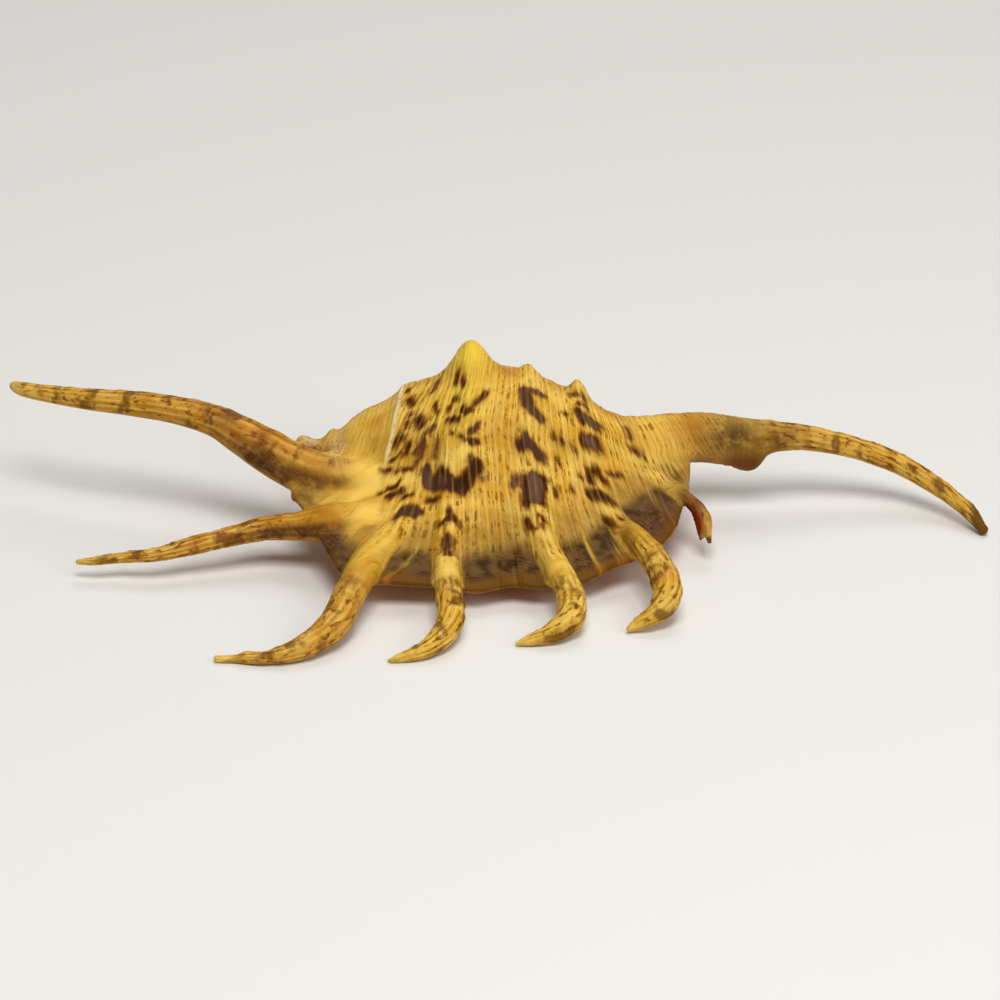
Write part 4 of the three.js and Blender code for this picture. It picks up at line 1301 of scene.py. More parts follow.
@dataclass
class Skin:
    """Where each tone and each kind of relief lies on the shell, at a set of points."""

    form: ShellForm
    points: Array
    markings: Markings = field(default_factory=Markings)
    spire_from: Span = (-16, -18)
    threads_end: Span = (39, 35)
    canal_ribs: Span = (40, 46)
    calm_places: tuple[tuple[float, ...], ...] = (
        (-22, -14, 7, 4), (-27, -13, 5.5, 5.5))  # x, y and the reach along each
    swells: tuple[tuple[float, ...], ...] = (
        (8.3, 0.4, 0.45), (1.6, 0.35, 0.4), (-0.3, 0.3, 0.3), (-7.0, 0.3, 0.3))  # cord, height, half width
    band_start: Table = field(default_factory=lambda: Table([
        [-34, 0.74], [-20, 0.72], [-8, 0.74], [2, 0.7], [13, 0.66], [20, 0.5], [25, 0.4], [30, 0.42]]))
    band_soft: float = 0.11
    band_from: Span = (-33, -29)
    band_fades: Span = (28, 30)
    edge_from: Span = (0.915, 0.985)
    amber_from: Span = (-24, -17)
    callus_from: Span = (122, 136)
    opening_from: Span = (-24, -17)
    opening_end: Span = (44, 30)
    seam_at: float = -15.9
    seam_half: float = 0.4
    seam_angles: tuple[Span, Span] = ((-40, -10), (92, 70))
    canal_warmth: Span = (42, 50)
    digit_warmth: tuple[float, ...] = (0.85, 0.85, 0.6, 0.0, 0.0, 0.3, 0.3)

    def __post_init__(self) -> None:
        """Reads where the points lie and starts every trait at nothing."""
        self.at = self.form.place(self.points)
        self.grain = Grain(self.form).read(self.points, self.at)
        self.traits = {trait: np.zeros(len(self.points)) for trait in Trait}

    def read(self) -> dict[Trait, Array]:
        """Reads every trait.

        Returns:
            One value a point for each trait.
        """
        self.traits[Trait.CORD], self.traits[Trait.GROWTH] = self.grain.cord, self.grain.growth
        self.traits[Trait.BLOTCH], self.traits[Trait.HEART] = self.markings.read(self.grain)
        for tone, patches in PATCHES.items():
            for *place, strength in patches:
                offsets = (self.points - place[:3]) / place[3:]
                self._raise(tone, strength * bump(*offsets.T))
        for fill in (self._relief, self._margin, self._underside, self._ends):
            fill()
        return self.traits

    def _raise(self, trait: Trait, values: Array) -> None:
        """Raises a trait to the values given, where it is lower."""
        self.traits[trait] = np.maximum(self.traits[trait], values)

    def _near_fingers(self, outer: float, inner: float, first: int = 0) -> Array:
        """Returns the share in which points are on fingers, from mm outside them where it is 0 and 1."""
        return np.max([smoothstep(limb.distance, outer, inner) for limb in self.at.fingers[first:]], axis=0)

    def _relief(self) -> None:
        """Fills in how strongly the surface is threaded and ribbed, and where small folds swell."""
        at, grain = self.at, self.grain
        x, y = self.points[:, 0], self.points[:, 1]
        places = [bump((x - at_x) / long, (y - at_y) / wide) for at_x, at_y, long, wide in self.calm_places]
        rough = 1 - 0.95 * np.max(places, axis=0)
        above = smoothstep(np.abs(grain.turn), 2.5, 2.0)
        threaded = (1 - grain.on_digit) * (1 - 0.55 * smoothstep(x, *self.spire_from))
        self.traits[Trait.THREADED] = threaded * smoothstep(x, *self.threads_end) * rough * above
        ribbed = np.maximum(grain.on_digit * smoothstep(grain.out, 0, 7), smoothstep(x, *self.canal_ribs))
        ribbed *= 1 - 0.6 * smoothstep(grain.share, 0.8, 1)
        self.traits[Trait.RIBBED] = ribbed * rough * above
        rises = smoothstep(at.lip.part, 0.3, 0.5) * (1 - self._near_fingers(1.4, 0.2, 1)) * grain.on_lip
        rises *= smoothstep(at.lip.height, 0, 0.3)
        for cord, height, half in self.swells:
            self.traits[Trait.SWELL] += height * bump((grain.cord - cord) / half) * rises

    def _margin(self) -> None:
        """Fills in the grey band, partly the lip's own grey-brown and partly painted shade where the lip
        turns down, and the amber edge of the lip, partly painted see-through light, between the fingers.
        """
        x, part = self.points[:, 0], self.at.lip.part
        open_lip = self.grain.on_lip * (1 - self._near_fingers(0.6, 0.05)) * (1 - self.grain.on_digit)
        start = self.band_start(x)
        band = smoothstep(part, start - self.band_soft, start + self.band_soft)
        band *= smoothstep(x, *self.band_from) * (1 - 0.5 * smoothstep(x, *self.band_fades))
        before = bump((part - start + 0.08) / 0.14) * (1 - band)
        # amber edge: partly the lip's own amber, partly painted light showing through the thin edge
        edge = smoothstep(part, *self.edge_from) * (0.2 + 0.8 * smoothstep(x, *self.amber_from))
        # grey band: partly the lip's own grey-brown, partly painted shade where the lip turns down towards
        # its edge
        self._raise(Trait.SMOKE, band * open_lip)
        self._raise(Trait.AMBER, edge * open_lip)
        self._raise(Trait.LILAC, 0.45 * before * open_lip)

    def _underside(self) -> None:
        """Fills in the smooth enamel of the aperture, the inner lip and the fingers' undersides."""
        x, at = self.points[:, 0], self.at
        callus = smoothstep(np.abs(at.angle), *self.callus_from) * (at.body < 1.5)
        callus *= smoothstep(x, *self.opening_from) * smoothstep(x, *self.opening_end)
        near_lip = smoothstep(at.lip.distance, 1.2, 0.6) * (1 - self.grain.on_digit)
        below = smoothstep(at.lip.height, -0.1, -0.5) * near_lip
        hollow = smoothstep(at.hollow, 0.9, 0.35)
        turned = [smoothstep(np.abs(limb.turn), 2.6, 2.9) * smoothstep(limb.distance, 0.8, 0.2)
                  * smoothstep(limb.share, 0.95, 0.6) for limb in at.fingers]
        self.traits[Trait.ENAMEL] = np.max([callus, below, hollow, *turned], axis=0)
        inward = smoothstep(at.lip.part, 0.95, 0.35)
        self.traits[Trait.DEPTH] = np.maximum(hollow * inward, 0.35 * callus)

    def _ends(self) -> None:
        """Fills in the pale seam and the fingers' tones, with partly painted shade on the lower sides of the
        first two fingers.
        """
        x, at, grain = self.points[:, 0], self.at, self.grain
        seam = bump((x + self.form.whorls.drift(x, at.angle) - self.seam_at) / self.seam_half)
        for angles in self.seam_angles:
            seam *= smoothstep(at.angle, *angles)
        self.traits[Trait.SEAM] = seam * (at.body < 1)
        tip = smoothstep(grain.share, 0.86, 0.97) * grain.on_digit
        self._raise(Trait.PALE, 0.75 * tip)
        warm = np.array([0, *self.digit_warmth])[grain.digit.astype(int)] * grain.on_digit
        warm = np.maximum(warm, 0.5 * smoothstep(x, *self.canal_warmth))
        self._raise(Trait.RICH, warm * (1 - 0.6 * smoothstep(grain.share, 0.55, 0.85)) * (1 - tip))
        # purple-grey on the lower sides of the first two fingers: partly their own colour, partly painted
        # shade
        under = smoothstep(grain.turn, 0.75, 1.3) * smoothstep(grain.turn, 2.2, 1.8) * grain.on_digit
        under *= (grain.digit > 0) * (grain.digit < 3) * smoothstep(grain.share, 0.52, 0.4)
        self._raise(Trait.LILAC, 0.9 * under)


FLOAT = "NodeSocketFloat"


def dye(red: int, green: int, blue: int) -> tuple[float, float, float, float]:
    """Turns a colour from 0 to 255 a channel, as seen, into the light that it stands for.

    Args:
        red: its red.
        green: its green.
        blue: its blue.

    Returns:
        The light in each channel from 0 to 1, and a full cover.
    """
    seen = np.array([red, green, blue]) / 255
    light = np.where(seen > 0.04045, ((seen + 0.055) / 1.055) ** 2.4, seen / 12.92)
    return (*light.tolist(), 1.0)


@dataclass(frozen=True)
class Value:
    """A number, colour or place that a node gives. A sum on numbers adds the node that works it out."""

    tree: Tree
    socket: bpy.types.NodeSocket

    def __add__(self, other: Source) -> Value:
        """Returns the two together."""
        return self.tree.math("ADD", self, other)

    def __sub__(self, other: Source) -> Value:
        """Returns what is left of this without the other."""
        return self.tree.math("SUBTRACT", self, other)

    def __mul__(self, other: Source) -> Value:
        """Returns the one times the other."""
        return self.tree.math("MULTIPLY", self, other)

    def __truediv__(self, other: Source) -> Value:
        """Returns this divided by the other."""
        return self.tree.math("DIVIDE", self, other)


Source = Value | float | tuple[float, ...]
Inputs = dict[str | int, object]


@dataclass
class Tree:
    """Short calls that build a node tree."""

    tree: bpy.types.NodeTree

    def add(self, kind: str, inputs: Inputs | None = None, **settings: object) -> bpy.types.Node:
        """Adds a node.

        Args:
            kind: its type.
            inputs: a value or a constant for each input, by name or number.
            settings: the node's own settings.

        Returns:
            The node.
        """
        node = self.tree.nodes.new(kind)
        for name, value in settings.items():
            setattr(node, name, value)
        for name, value in (inputs or {}).items():
            if isinstance(value, Value):
                self.tree.links.new(value.socket, node.inputs[name])
            else:
                node.inputs[name].default_value = value
        return node

    def first(self, kind: str, inputs: Inputs | None = None, **settings: object) -> Value:
        """Adds a node as add() does and returns its first output."""
        return Value(self, self.add(kind, inputs, **settings).outputs[0])

    def math(self, operation: str, *values: Source) -> Value:
        """Returns the result of one operation on numbers."""
        return self.first("ShaderNodeMath", dict(enumerate(values)), operation=operation)

    def fit(self, value: Value, low: Source, high: Source, to: float = 1.0, start: float = 0.0) -> Value:
        """Returns a value that goes smoothly from start, at low, to another, at high."""
        ends = {"Value": value, "From Min": low, "From Max": high, "To Min": start, "To Max": to}
        return self.first("ShaderNodeMapRange", ends, interpolation_type="SMOOTHSTEP")

    def mix(self, under: Source, over: Source, share: Source) -> Value:
        """Returns one colour laid over another."""
        node = self.add("ShaderNodeMix", {0: share, 6: under, 7: over}, data_type="RGBA", clamp_factor=True)
        return Value(self, node.outputs[2])

    def wave(self, place: Value, spacing: Source, wander: Source) -> Value:
        """Returns a wave from -1 to 1 along a place, with uneven steps."""
        return self.math("SINE", (place / spacing + wander) * math.tau)

    def clouds(self, place: Value, scale: Source = 1.0, detail: float = 2.0) -> Value:
        """Returns cloudy values between 0 and 1, around one half."""
        return self.first("ShaderNodeTexNoise", {"Vector": place, "Scale": scale, "Detail": detail})

    def streaks(self, cord: Value, growth: Value, across: float, along: float, detail: float = 2.0) -> Value:
        """Returns clouds in the grain, so many to a mm across the cords and along them."""
        spot = self.first("ShaderNodeCombineXYZ", {0: cord * across, 1: growth * along})
        return self.clouds(spot, detail=detail)

    def place(self, group: bpy.types.NodeTree, inputs: dict[str, Source]) -> dict[str, Value]:
        """Places a shared group and returns its outputs by name."""
        node = self.add("ShaderNodeGroup", inputs, node_tree=group)
        return {socket.name: Value(self, socket) for socket in node.outputs}


def new_group(name: str, inputs: dict[str, float]) -> tuple[Tree, dict[str, Value]]:
    """Starts a group that finishes can share.

    Args:
        name: the group's name.
        inputs: each number that it takes, with its usual value.

    Returns:
        Its tree and its inputs by name.
    """
    group = bpy.data.node_groups.new(name, "ShaderNodeTree")
    for label, value in inputs.items():
        socket = group.interface.new_socket(name=label, in_out="INPUT", socket_type=FLOAT)
        socket.default_value = value
    tree = Tree(group)
    takes = tree.add("NodeGroupInput").outputs
    return tree, {label: Value(tree, takes[label]) for label in inputs}


def close_group(tree: Tree, outputs: dict[str, Value]) -> bpy.types.NodeTree:
    """Ends a group.

    Args:
        tree: the group's tree.
        outputs: each number that it puts out, by name.

    Returns:
        The group.
    """
    for label in outputs:
        tree.tree.interface.new_socket(name=label, in_out="OUTPUT", socket_type=FLOAT)
    tree.add("NodeGroupOutput", outputs)
    return tree.tree


def threads_group() -> bpy.types.NodeTree:
    """Makes the group for fine threads: raised lines that follow the cords, uneven in width and height.

    Returns:
        The group. It puts out the threads' crests and the valleys between them.
    """
    tree, takes = new_group("Threads", {"Cord": 0, "Growth": 0, "Spacing": 0.8})
    cord, growth = takes["Cord"], takes["Growth"]
    wave = tree.wave(cord, takes["Spacing"], tree.streaks(cord, growth, 0.4, 0.06) * 1.8)
    vary = tree.streaks(cord, growth, 0.9, 0.1, 3)
    crest = tree.fit(wave, -0.1, 1.0) * tree.fit(vary, 0.36, 0.62)
    valley = tree.fit(wave, 0.0, -1.0) * tree.fit(vary, 0.66, 0.4)
    return close_group(tree, {"Crest": crest, "Valley": valley})


def growth_group() -> bpy.types.NodeTree:
    """Makes the group for growth lines: fine lines across the cords, where the lip once stood.

    Returns:
        The group.
    """
    tree, takes = new_group("Growth lines", {"Cord": 0, "Growth": 0, "Spacing": 0.6})
    cord, growth = takes["Cord"], takes["Growth"]
    wave = tree.wave(growth, takes["Spacing"], tree.streaks(cord, growth, 0.12, 0.35, 3) * 3.0)
    vary = tree.streaks(cord, growth, 0.3, 0.5)
    return close_group(tree, {"Line": tree.fit(wave, -0.2, 1.0) * tree.fit(vary, 0.35, 0.65)})


def hatch_group() -> bpy.types.NodeTree:
    """Makes the group for a hatch: short fine streaks at a slant, which cross each other.

    Returns:
        The group.
    """
    tree, takes = new_group("Hatch", {"Across": 0, "Down": 0})
    total: Source = 0.0
    for lean in (0.7, -1.1):
        across = takes["Down"] * lean + takes["Across"]
        along = takes["Across"] * -lean + takes["Down"]
        total = tree.math("MAXIMUM", total, tree.fit(tree.streaks(across, along, 2.8, 0.3, 4), 0.5, 0.72))
    return close_group(tree, {"Streak": total})


def ragged_group() -> bpy.types.NodeTree:
    """Makes the group for ragged marks: a soft field gets an edge that is combed along the threads.

    Returns:
        The group.
    """
    tree, takes = new_group("Ragged edge", {"Field": 0, "Cord": 0, "Growth": 0, "Comb": 1.0, "Soft": 0.1})
    comb = tree.streaks(takes["Cord"], takes["Growth"], 1.7, 0.22, 3)
    specks = tree.streaks(takes["Cord"], takes["Growth"], 2.6, 1.2)
    stirred = (comb + specks * 0.4 - 0.7) * takes["Comb"] + takes["Field"]
    return close_group(tree, {"Mask": tree.fit(stirred, takes["Soft"] * -1.0, takes["Soft"])})


class Coat:
    """The shell's finish while it is laid on: its node tree, what it reads and its colour so far."""

    def __init__(self, tree: Tree, spacings: tuple[float, float, float]) -> None:
        """Reads the traits and places the groups for threads, growth lines, hatch and ragged edges.

        Args:
            tree: the material's tree.
            spacings: the steps of the wide threads, the fine threads and the growth lines, in mm.
        """
        self.tree = tree
        self.traits = {
            trait: Value(tree, tree.add("ShaderNodeAttribute", attribute_name=trait.value).outputs["Fac"])
            for trait in Trait}
        self.here = {"Cord": self.traits[Trait.CORD], "Growth": self.traits[Trait.GROWTH]}
        spot = Value(tree, tree.add("ShaderNodeTexCoord").outputs["Object"])
        self.spot = tree.first("ShaderNodeVectorMath", {0: spot, "Scale": 1 / MM}, operation="SCALE")
        threads = threads_group()
        wide, fine, lines = ({**self.here, "Spacing": spacing} for spacing in spacings)
        self.wide, self.fine = tree.place(threads, wide), tree.place(threads, fine)
        self.line = tree.place(growth_group(), lines)["Line"]
        parts = tree.add("ShaderNodeSeparateXYZ", {0: self.spot}).outputs
        x, y, z = (Value(tree, part) for part in parts)
        self.hatch = tree.place(hatch_group(), {"Across": x, "Down": y + z})["Streak"]
        self.ragged = ragged_group()
        self.colour: Source = (0.0, 0.0, 0.0, 1.0)

    def lay(self, over: Source, share: Source) -> None:
        """Lays a colour over what is there."""
        self.colour = self.tree.mix(self.colour, over, share)

    def streaks(self, across: float, along: float, detail: float = 2.0) -> Value:
        """Returns clouds in the shell's grain, so many to a mm across the cords and along them."""
        return self.tree.streaks(*self.here.values(), across, along, detail)

    def clouds(self, scale: float, detail: float = 2.0) -> Value:
        """Returns clouds that don't follow the grain, so many to a mm."""
        return self.tree.clouds(self.spot, scale, detail)

    def ragged_mask(self, inside: Value, comb: float, soft: float) -> Value:
        """Returns the cover of a mark from the mm inside it, how far it is combed and how soft it ends."""
        takes = {"Field": inside, **self.here, "Comb": comb, "Soft": soft}
        return self.tree.place(self.ragged, takes)["Mask"]


@dataclass(frozen=True)
class ShellFinish:
    """The shell's finish: golden ground, threads with painted highlight and shade, dark marks, grey band
    partly painted shade, amber edge partly painted see-through light, and orange enamel.
    """

    ochre: tuple = dye(206, 157, 48)
    gold: tuple = dye(230, 189, 82)
    honey: tuple = dye(186, 128, 26)
    cream: tuple = dye(244, 208, 118)
    pale: tuple = dye(232, 196, 96)
    lemon: tuple = dye(232, 202, 64)
    rich: tuple = dye(176, 114, 26)
    # amber of the lip's edge, partly painted see-through light
    amber: tuple = dye(104, 66, 12)
    umber: tuple = dye(98, 54, 12)
    olive: tuple = dye(136, 90, 14)
    lilac: tuple = dye(70, 38, 16)
    rose: tuple = dye(182, 124, 80)
    # dark brown of the grey band, partly painted shade
    smoke: tuple = dye(58, 33, 8)
    ash: tuple = dye(104, 74, 34)
    russet: tuple = dye(116, 36, 6)
    maroon: tuple = dye(44, 9, 1)
    brown: tuple = dye(112, 56, 10)
    heather: tuple = dye(98, 72, 60)
    chalk: tuple = dye(204, 168, 120)
    ivory: tuple = dye(248, 230, 166)
    enamel: tuple = dye(230, 160, 92)
    deep: tuple = dye(210, 104, 36)
    spacings: tuple[float, float, float] = (0.82, 0.47, 0.6)
    gloss: float = 0.06
    coat_weight: float = 0.02
    coat_roughness: float = 0.25
    enamel_cover: float = 0.94
    bump_reach: float = 1.0 * MM

    def build(self) -> bpy.types.Material:
        """Makes the material.

        Returns:
            The material, for a mesh that carries the traits.
        """
        material = bpy.data.materials.new("shell_finish")
        material.use_nodes = True
        tree = Tree(material.node_tree)
        tree.tree.nodes.clear()
        coat = Coat(tree, self.spacings)
        for layer in (self._ground, self._tones, self._limbs, self._margin, self._marks, self._inside):
            layer(coat)
        shader = tree.first("ShaderNodeBsdfPrincipled", {
            "Base Color": coat.colour, "Roughness": self._roughness(coat), "Normal": self._normal(coat),
            "IOR": 1.5, "Specular IOR Level": self.gloss, "Coat Weight": self.coat_weight,
            "Coat Roughness": self.coat_roughness})
        tree.add("ShaderNodeOutputMaterial", {"Surface": shader})
        return material

    def _ground(self, coat: Coat) -> None:
        """Lays the golden ground, with its growth bands, streaks, threads and dashes. The threads' paler
        crests are partly painted highlight and their darker valleys partly painted shade.

        Args:
            coat: what it is laid on.
        """
        tree, threaded = coat.tree, coat.traits[Trait.THREADED]
        cloudy = coat.streaks(0.06, 0.4, 3) * 0.55 + coat.clouds(0.13) * 0.45
        coat.colour = tree.mix(self.ochre, self.gold, tree.fit(cloudy, 0.4, 0.58))
        lively = threaded + coat.traits[Trait.RIBBED]
        coat.lay(self.honey, tree.fit(coat.streaks(0.9, 0.1, 4), 0.5, 0.72, 0.5) * lively)
        # paler crests and darker valleys: partly the threads' own tone, partly painted highlight on the
        # crests and painted shade in the valleys
        crest = tree.math("MAXIMUM", coat.wide["Crest"], coat.fine["Crest"] * 0.6)
        coat.lay(self.cream, crest * threaded * 0.42)
        valley = tree.math("MAXIMUM", coat.wide["Valley"], coat.fine["Valley"] * 0.5)
        coat.lay(self.honey, valley * threaded * 0.6)
        rows = coat.streaks(0.1, 0.8)
        dashes = tree.fit(rows * 0.6 + coat.streaks(1.9, 0.7, 3), 0.79, 0.9, 0.85)
        coat.lay(self.olive, dashes * tree.fit(valley, 0.0, 0.5) * threaded)

    def _tones(self, coat: Coat) -> None:
        """Lays the pale and warm tones, with painted highlights among the pale and lemon patches, the broken
        seam and the worn, dirty places.

        Args:
            coat: what they are laid on.
        """
        tree, traits = coat.tree, coat.traits
        # pale and lemon: partly the shell's own tones, partly painted highlights on the knobs and a painted
        # glint on the lip
        coat.lay(self.pale, traits[Trait.PALE] * 0.8)
        coat.lay(self.lemon, traits[Trait.LEMON] * 0.8)
        coat.lay(self.ivory, traits[Trait.SEAM] * tree.fit(coat.clouds(0.9), 0.36, 0.5, 0.95, 0.3))
        coat.lay(self.rich, traits[Trait.RICH] * tree.fit(coat.streaks(1.2, 0.1, 3), 0.3, 0.6, 0.95, 0.5))
        coat.lay(self.umber, traits[Trait.UMBER] * tree.fit(coat.streaks(1.6, 0.5, 3), 0.35, 0.6, 0.95))
        dirt = tree.fit(coat.clouds(1.6, 3), 0.5, 0.62) * 0.75
        coat.lay(tree.mix(self.chalk, self.umber, dirt), traits[Trait.CHALK] * 0.9)

    def _limbs(self, coat: Coat) -> None:
        """Lays the fingers' and the canal's long streaks, brown clouds, flecks and rings.

        Args:
            coat: what they are laid on.
        """
        tree, ribbed = coat.tree, coat.traits[Trait.RIBBED]
        wave = tree.wave(coat.here["Cord"], Relief.rib_spacing, coat.streaks(0.2, 0.04))
        vary = coat.streaks(1.4, 0.12, 3)
        coat.lay(self.cream, tree.fit(wave, 0.0, 1.0) * tree.fit(vary, 0.62, 0.42, 0.35) * ribbed)
        coat.lay(self.brown, tree.fit(wave, 0.3, -1.0) * tree.fit(vary, 0.42, 0.62, 0.6) * ribbed)
        coat.lay(self.honey, tree.fit(coat.clouds(0.3, 3), 0.48, 0.64, 0.35) * ribbed)
        coat.lay(self.brown, tree.fit(coat.streaks(2.2, 0.55, 3), 0.54, 0.64, 0.85) * ribbed)
        coat.lay(self.umber, tree.fit(coat.streaks(0.35, 0.3, 3), 0.5, 0.64, 0.8) * ribbed)
        rings = tree.wave(coat.here["Growth"], 1.3, coat.streaks(0.3, 0.3) * 3.0)
        pale = tree.fit(rings, 0.3, 1.0) * tree.fit(coat.clouds(0.4), 0.5, 0.62, 0.16)
        coat.lay(self.chalk, pale * ribbed)

    def _margin(self, coat: Coat) -> None:
        """Lays the grey band with its tongues of gold, partly painted shade, the purple hatch, the amber
        edge, partly painted see-through light, and the russet.

        Args:
            coat: what they are laid on.
        """
        tree, traits = coat.tree, coat.traits
        tongues = coat.streaks(0.6, 0.03, 3)
        film = coat.line * 0.4 + tree.fit(coat.clouds(0.4, 3), 0.38, 0.6, 0.85)
        # grey band: partly the lip's own grey-brown, partly painted shade
        smoke = tree.mix(self.smoke, self.ash, film)
        coat.lay(smoke, traits[Trait.SMOKE] * tree.fit(tongues, 0.56, 0.66, 0.35, 1.0))
        # the purple-grey also carries the partly painted shade on the first two fingers' lower sides
        lilac = tree.mix(self.lilac, self.rose, coat.hatch * 0.42)
        coat.lay(lilac, traits[Trait.LILAC] * tree.fit(coat.clouds(0.5, 3), 0.3, 0.5, 0.97, 0.6))
        # amber edge: partly its own amber, partly painted see-through light
        coat.lay(tree.mix(self.amber, self.rich, tree.fit(tongues, 0.54, 0.68, 0.75)), traits[Trait.AMBER])
        coat.lay(self.russet, traits[Trait.RUSSET])

    def _marks(self, coat: Coat) -> None:
        """Lays the dark marks: an olive fringe, brown edges, a maroon core and a grey heart.

        Args:
            coat: what they are laid on.
        """
        inside = coat.traits[Trait.BLOTCH]
        core = coat.ragged_mask(inside - 0.22, 1.3, 0.35)
        ink = coat.tree.mix(self.brown, self.maroon, core)
        ink = coat.tree.mix(ink, self.heather, coat.traits[Trait.HEART] * core * 0.9)
        coat.lay(self.olive, coat.ragged_mask(inside + 0.25, 2.2, 0.5) * 0.6)
        coat.lay(ink, coat.ragged_mask(inside, 1.1, 0.28) * (coat.wide["Crest"] * -0.25 + 0.96))

    def _inside(self, coat: Coat) -> None:
        """Lays the orange enamel of the underside, deeper inside the opening."""
        inside = coat.tree.mix(self.enamel, self.deep, coat.clouds(0.15) * 0.3 + coat.traits[Trait.DEPTH])
        coat.lay(inside, coat.traits[Trait.ENAMEL] * self.enamel_cover)

    def _roughness(self, coat: Coat) -> Value:
        """Returns the roughness: satin outside, glossy enamel, dull where it is worn."""
        satin = coat.tree.fit(coat.clouds(0.9, 3), 0.3, 0.7, 0.55, 0.4)
        return coat.traits[Trait.CHALK] * 0.25 + satin - coat.traits[Trait.ENAMEL] * 0.25

    def _normal(self, coat: Coat) -> Value:
        """Works out the normal from threads, growth lines and grain, with their heights in mm.

        Args:
            coat: what they are raised on.

        Returns:
            The normal.
        """
        traits = coat.traits
        threads = (coat.fine["Crest"] * 0.4 + coat.wide["Crest"]) * traits[Trait.THREADED] * 0.08
        growth = coat.line * (traits[Trait.SMOKE] * 0.02 + 0.018)
        grain = coat.clouds(2.2, 3) * (traits[Trait.CHALK] * 0.25 + 0.05)
        height = (threads + growth + grain) * (traits[Trait.ENAMEL] * -0.85 + 1.0)
        inputs = {"Strength": 1.0, "Distance": self.bump_reach, "Height": height}
        return coat.tree.first("ShaderNodeBump", inputs)


@dataclass
class Relief:
    """The raised cords, ribs, folds and lumps, as a Geometry Nodes tree. Heights and spacings are in mm."""

    cord_height: float = 0.07
    cord_spacing: float = 2.4
    rib_height: float = 0.08
    rib_spacing: float = 0.62
    ring_height: float = 0.05
    ring_spacing: float = 4.3
    lump_height: float = 0.35
    lump_spacing: float = 3.4

    def build(self, finish: bpy.types.Material) -> bpy.types.NodeTree:
        """Makes the tree.

        Args:
            finish: the material that the result gets.

        Returns:
            The tree.
        """
        group = bpy.data.node_groups.new("Shell relief", "GeometryNodeTree")
        group.interface.new_socket(name="Geometry", in_out="INPUT", socket_type="NodeSocketGeometry")
        for name in self.sizes():
            group.interface.new_socket(name=name, in_out="INPUT", socket_type=FLOAT)
        group.interface.new_socket(name="Geometry", in_out="OUTPUT", socket_type="NodeSocketGeometry")
        tree = Tree(group)
        sockets = tree.add("NodeGroupInput").outputs
        takes = {name: Value(tree, sockets[name]) for name in ("Geometry", *self.sizes())}
        along_normal = {0: tree.first("GeometryNodeInputNormal"), "Scale": self._height(tree, takes) * MM}
        offset = tree.first("ShaderNodeVectorMath", along_normal, operation="SCALE")
        moved = tree.first("GeometryNodeSetPosition", {"Geometry": takes["Geometry"], "Offset": offset})
        real = tree.first("GeometryNodeRealizeInstances", {"Geometry": moved})
        dressed = tree.first("GeometryNodeSetMaterial", {"Geometry": real, "Material": finish})
        tree.add("NodeGroupOutput", {"Geometry": dressed})
        return group

    def sizes(self) -> dict[str, float]:
        """Returns the tree's inputs and their values."""
        return {name.capitalize().replace("_", " "): size for name, size in vars(self).items()}

    def _height(self, tree: Tree, takes: dict[str, Value]) -> Value:
        """Works out how far each point moves out.

        Args:
            tree: the tree.
            takes: its inputs by name.

        Returns:
            The height in mm.
        """
        cord, growth, threaded, ribbed, chalk, swell, enamel = (
            tree.first("GeometryNodeInputNamedAttribute", {"Name": trait.value}, data_type="FLOAT")
            for trait in (Trait.CORD, Trait.GROWTH, Trait.THREADED, Trait.RIBBED, Trait.CHALK, Trait.SWELL,
                          Trait.ENAMEL))
        wander = tree.streaks(cord, growth, 0.2, 0.04)
        uneven = tree.streaks(cord, growth, 0.5, 0.12)
        cords = tree.wave(cord, takes["Cord spacing"], wander * 2.5) * tree.fit(uneven, 0.3, 0.65)
        ribs = tree.wave(cord, takes["Rib spacing"], wander)
        rings = tree.wave(growth, takes["Ring spacing"], uneven * 2.0)
        scale = tree.math("DIVIDE", 1 / MM, takes["Lump spacing"])
        lumps = (tree.clouds(tree.first("GeometryNodeInputPosition"), scale) - 0.5) * takes["Lump height"]
        total = cords * takes["Cord height"] * threaded + ribs * takes["Rib height"] * ribbed
        total = total + rings * takes["Ring height"] * (threaded + ribbed)
        total = total + lumps * (ribbed * 0.9 + chalk * 1.3 + 0.25) + swell
        return total * tree.math("SUBTRACT", 1.0, enamel)


@dataclass
class SpiderConch:
    """The shell itself, one piece."""

    name: str = "conch_shell"
    form: ShellForm = field(default_factory=ShellForm)
    relief: Relief = field(default_factory=Relief)
    finish: ShellFinish = field(default_factory=ShellFinish)

    def build(self) -> bpy.types.Object:
        """Makes the finished shell.

        Returns:
            The shell as one mesh object.
        """
        points, quads = SurfaceNet(self.form).build()
        LOG.info("surface: %d points, %d faces", len(points), len(quads))
        mesh = bpy.data.meshes.new(self.name)
        mesh.from_pydata((points + PLACE) * MM, [], quads.tolist())
        mesh.shade_smooth()
        for trait, values in Skin(self.form, points).read().items():
            attribute = mesh.attributes.new(trait.value, "FLOAT", "POINT")
            attribute.data.foreach_set("value", values.astype(np.float32))
        shell = bpy.data.objects.new(self.name, mesh)
        bpy.context.scene.collection.objects.link(shell)
        self._raise_relief(shell, self.finish.build())
        return shell

    def _raise_relief(self, shell: bpy.types.Object, finish: bpy.types.Material) -> None:
        """Raises the relief on the shell and gives it its finish.

        Args:
            shell: the smooth shell, which gets the raised mesh.
            finish: its material.
        """
        tree = self.relief.build(finish)
        modifier = shell.modifiers.new("relief", "NODES")
        modifier.node_group = tree
        sizes = self.relief.sizes()
        for item in tree.interface.items_tree:
            if item.in_out == "INPUT" and item.name in sizes:
                modifier[item.identifier] = sizes[item.name]
        evaluated = shell.evaluated_get(bpy.context.evaluated_depsgraph_get())
        raised = bpy.data.meshes.new_from_object(evaluated)
        shell.modifiers.remove(modifier)
        shell.data = raised


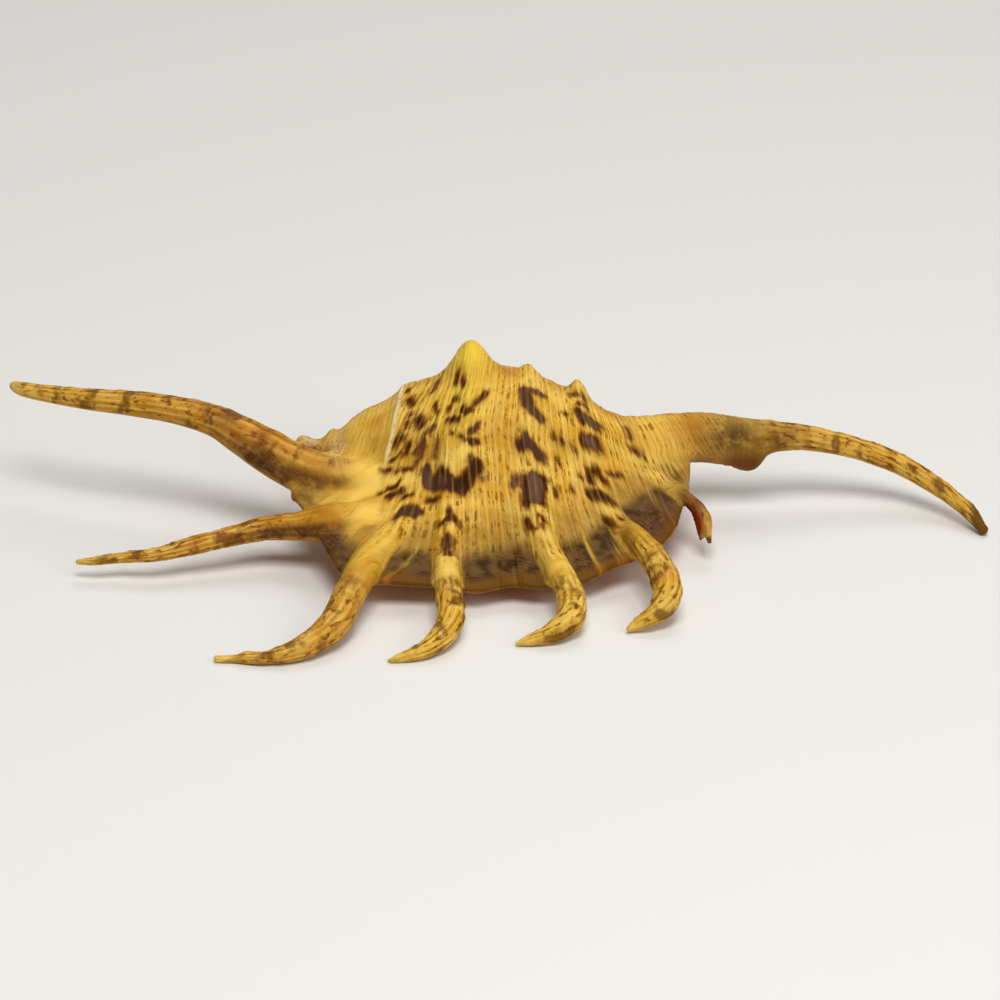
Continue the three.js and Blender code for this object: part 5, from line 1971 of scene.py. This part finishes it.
@dataclass
class Studio:
    """A pale floor, soft light and the camera."""

    target: tuple[float, float, float] = (0.0, 0.0, 2.4)  # on the shell, in mm about the coiling line
    elevation: float = 26.0
    distance: float = 700.0
    lens: float = 152.72
    sensor: float = 36.0
    clip_start: float = 0.01
    floor_half: float = 3.0
    floor_colour: tuple = dye(226, 224, 220)
    floor_roughness: float = 0.9
    world_light: float = 0.26
    lamps: tuple[tuple[tuple[float, float, float], float, float], ...] = (
        ((0.04, -0.4, 0.82), 0.4, 5.6), ((0.6, -0.45, 0.5), 0.5, 2.2), ((0.1, 0.5, 0.8), 0.5, 2.2))

    def build(self) -> None:
        """Makes the floor, the light and the camera."""
        self._floor()
        self._light()
        self._camera()

    def _floor(self) -> None:
        """Makes the floor, with a plain matt finish."""
        half = self.floor_half
        mesh = bpy.data.meshes.new("floor")
        corners = [(-half, -half, 0), (half, -half, 0), (half, half, 0), (-half, half, 0)]
        mesh.from_pydata(corners, [], [(0, 1, 2, 3)])
        finish = bpy.data.materials.new("floor_finish")
        finish.use_nodes = True
        shader = finish.node_tree.nodes["Principled BSDF"]
        shader.inputs["Base Color"].default_value = self.floor_colour
        shader.inputs["Roughness"].default_value = self.floor_roughness
        mesh.materials.append(finish)
        floor = bpy.data.objects.new("floor", mesh)
        bpy.context.scene.collection.objects.link(floor)

    def _light(self) -> None:
        """Makes the lamps, each turned to the shell, and the sky."""
        for number, (place, size, power) in enumerate(self.lamps):
            lamp = bpy.data.lights.new(f"lamp_{number}", "AREA")
            lamp.size = size
            lamp.energy = power
            holder = bpy.data.objects.new(lamp.name, lamp)
            holder.location = place
            holder.rotation_euler = (-Vector(place)).to_track_quat("-Z", "Y").to_euler()
            bpy.context.scene.collection.objects.link(holder)
        world = bpy.data.worlds.new("sky")
        world.use_nodes = True
        background = world.node_tree.nodes["Background"]
        background.inputs["Color"].default_value = self.floor_colour
        background.inputs["Strength"].default_value = self.world_light
        bpy.context.scene.world = world
        bpy.context.scene.view_settings.view_transform = "Standard"

    def _camera(self) -> None:
        """Makes the camera, level with the photograph's view."""
        turn = math.radians(self.elevation)
        target = (np.array(self.target) + PLACE) * MM
        back = np.array([0, -math.cos(turn), math.sin(turn)]) * self.distance * MM
        camera = bpy.data.cameras.new("camera")
        camera.lens = self.lens
        camera.sensor_width = self.sensor
        camera.clip_start = self.clip_start
        holder = bpy.data.objects.new("camera", camera)
        holder.location = target + back
        holder.rotation_euler = (math.pi / 2 - turn, 0, 0)
        bpy.context.scene.collection.objects.link(holder)
        bpy.context.scene.camera = holder


def main() -> None:
    """Builds the shell and its surroundings, and reports the piece and the sizes."""
    logging.basicConfig(level=logging.INFO, format="%(name)s: %(message)s")
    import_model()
    shell = SpiderConch().build()
    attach(shell, "root")
    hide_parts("shell")
    LOG.info("piece: %s, %d faces", shell.name, len(shell.data.polygons))
    Studio().build()


if __name__ == "__main__":
    main()
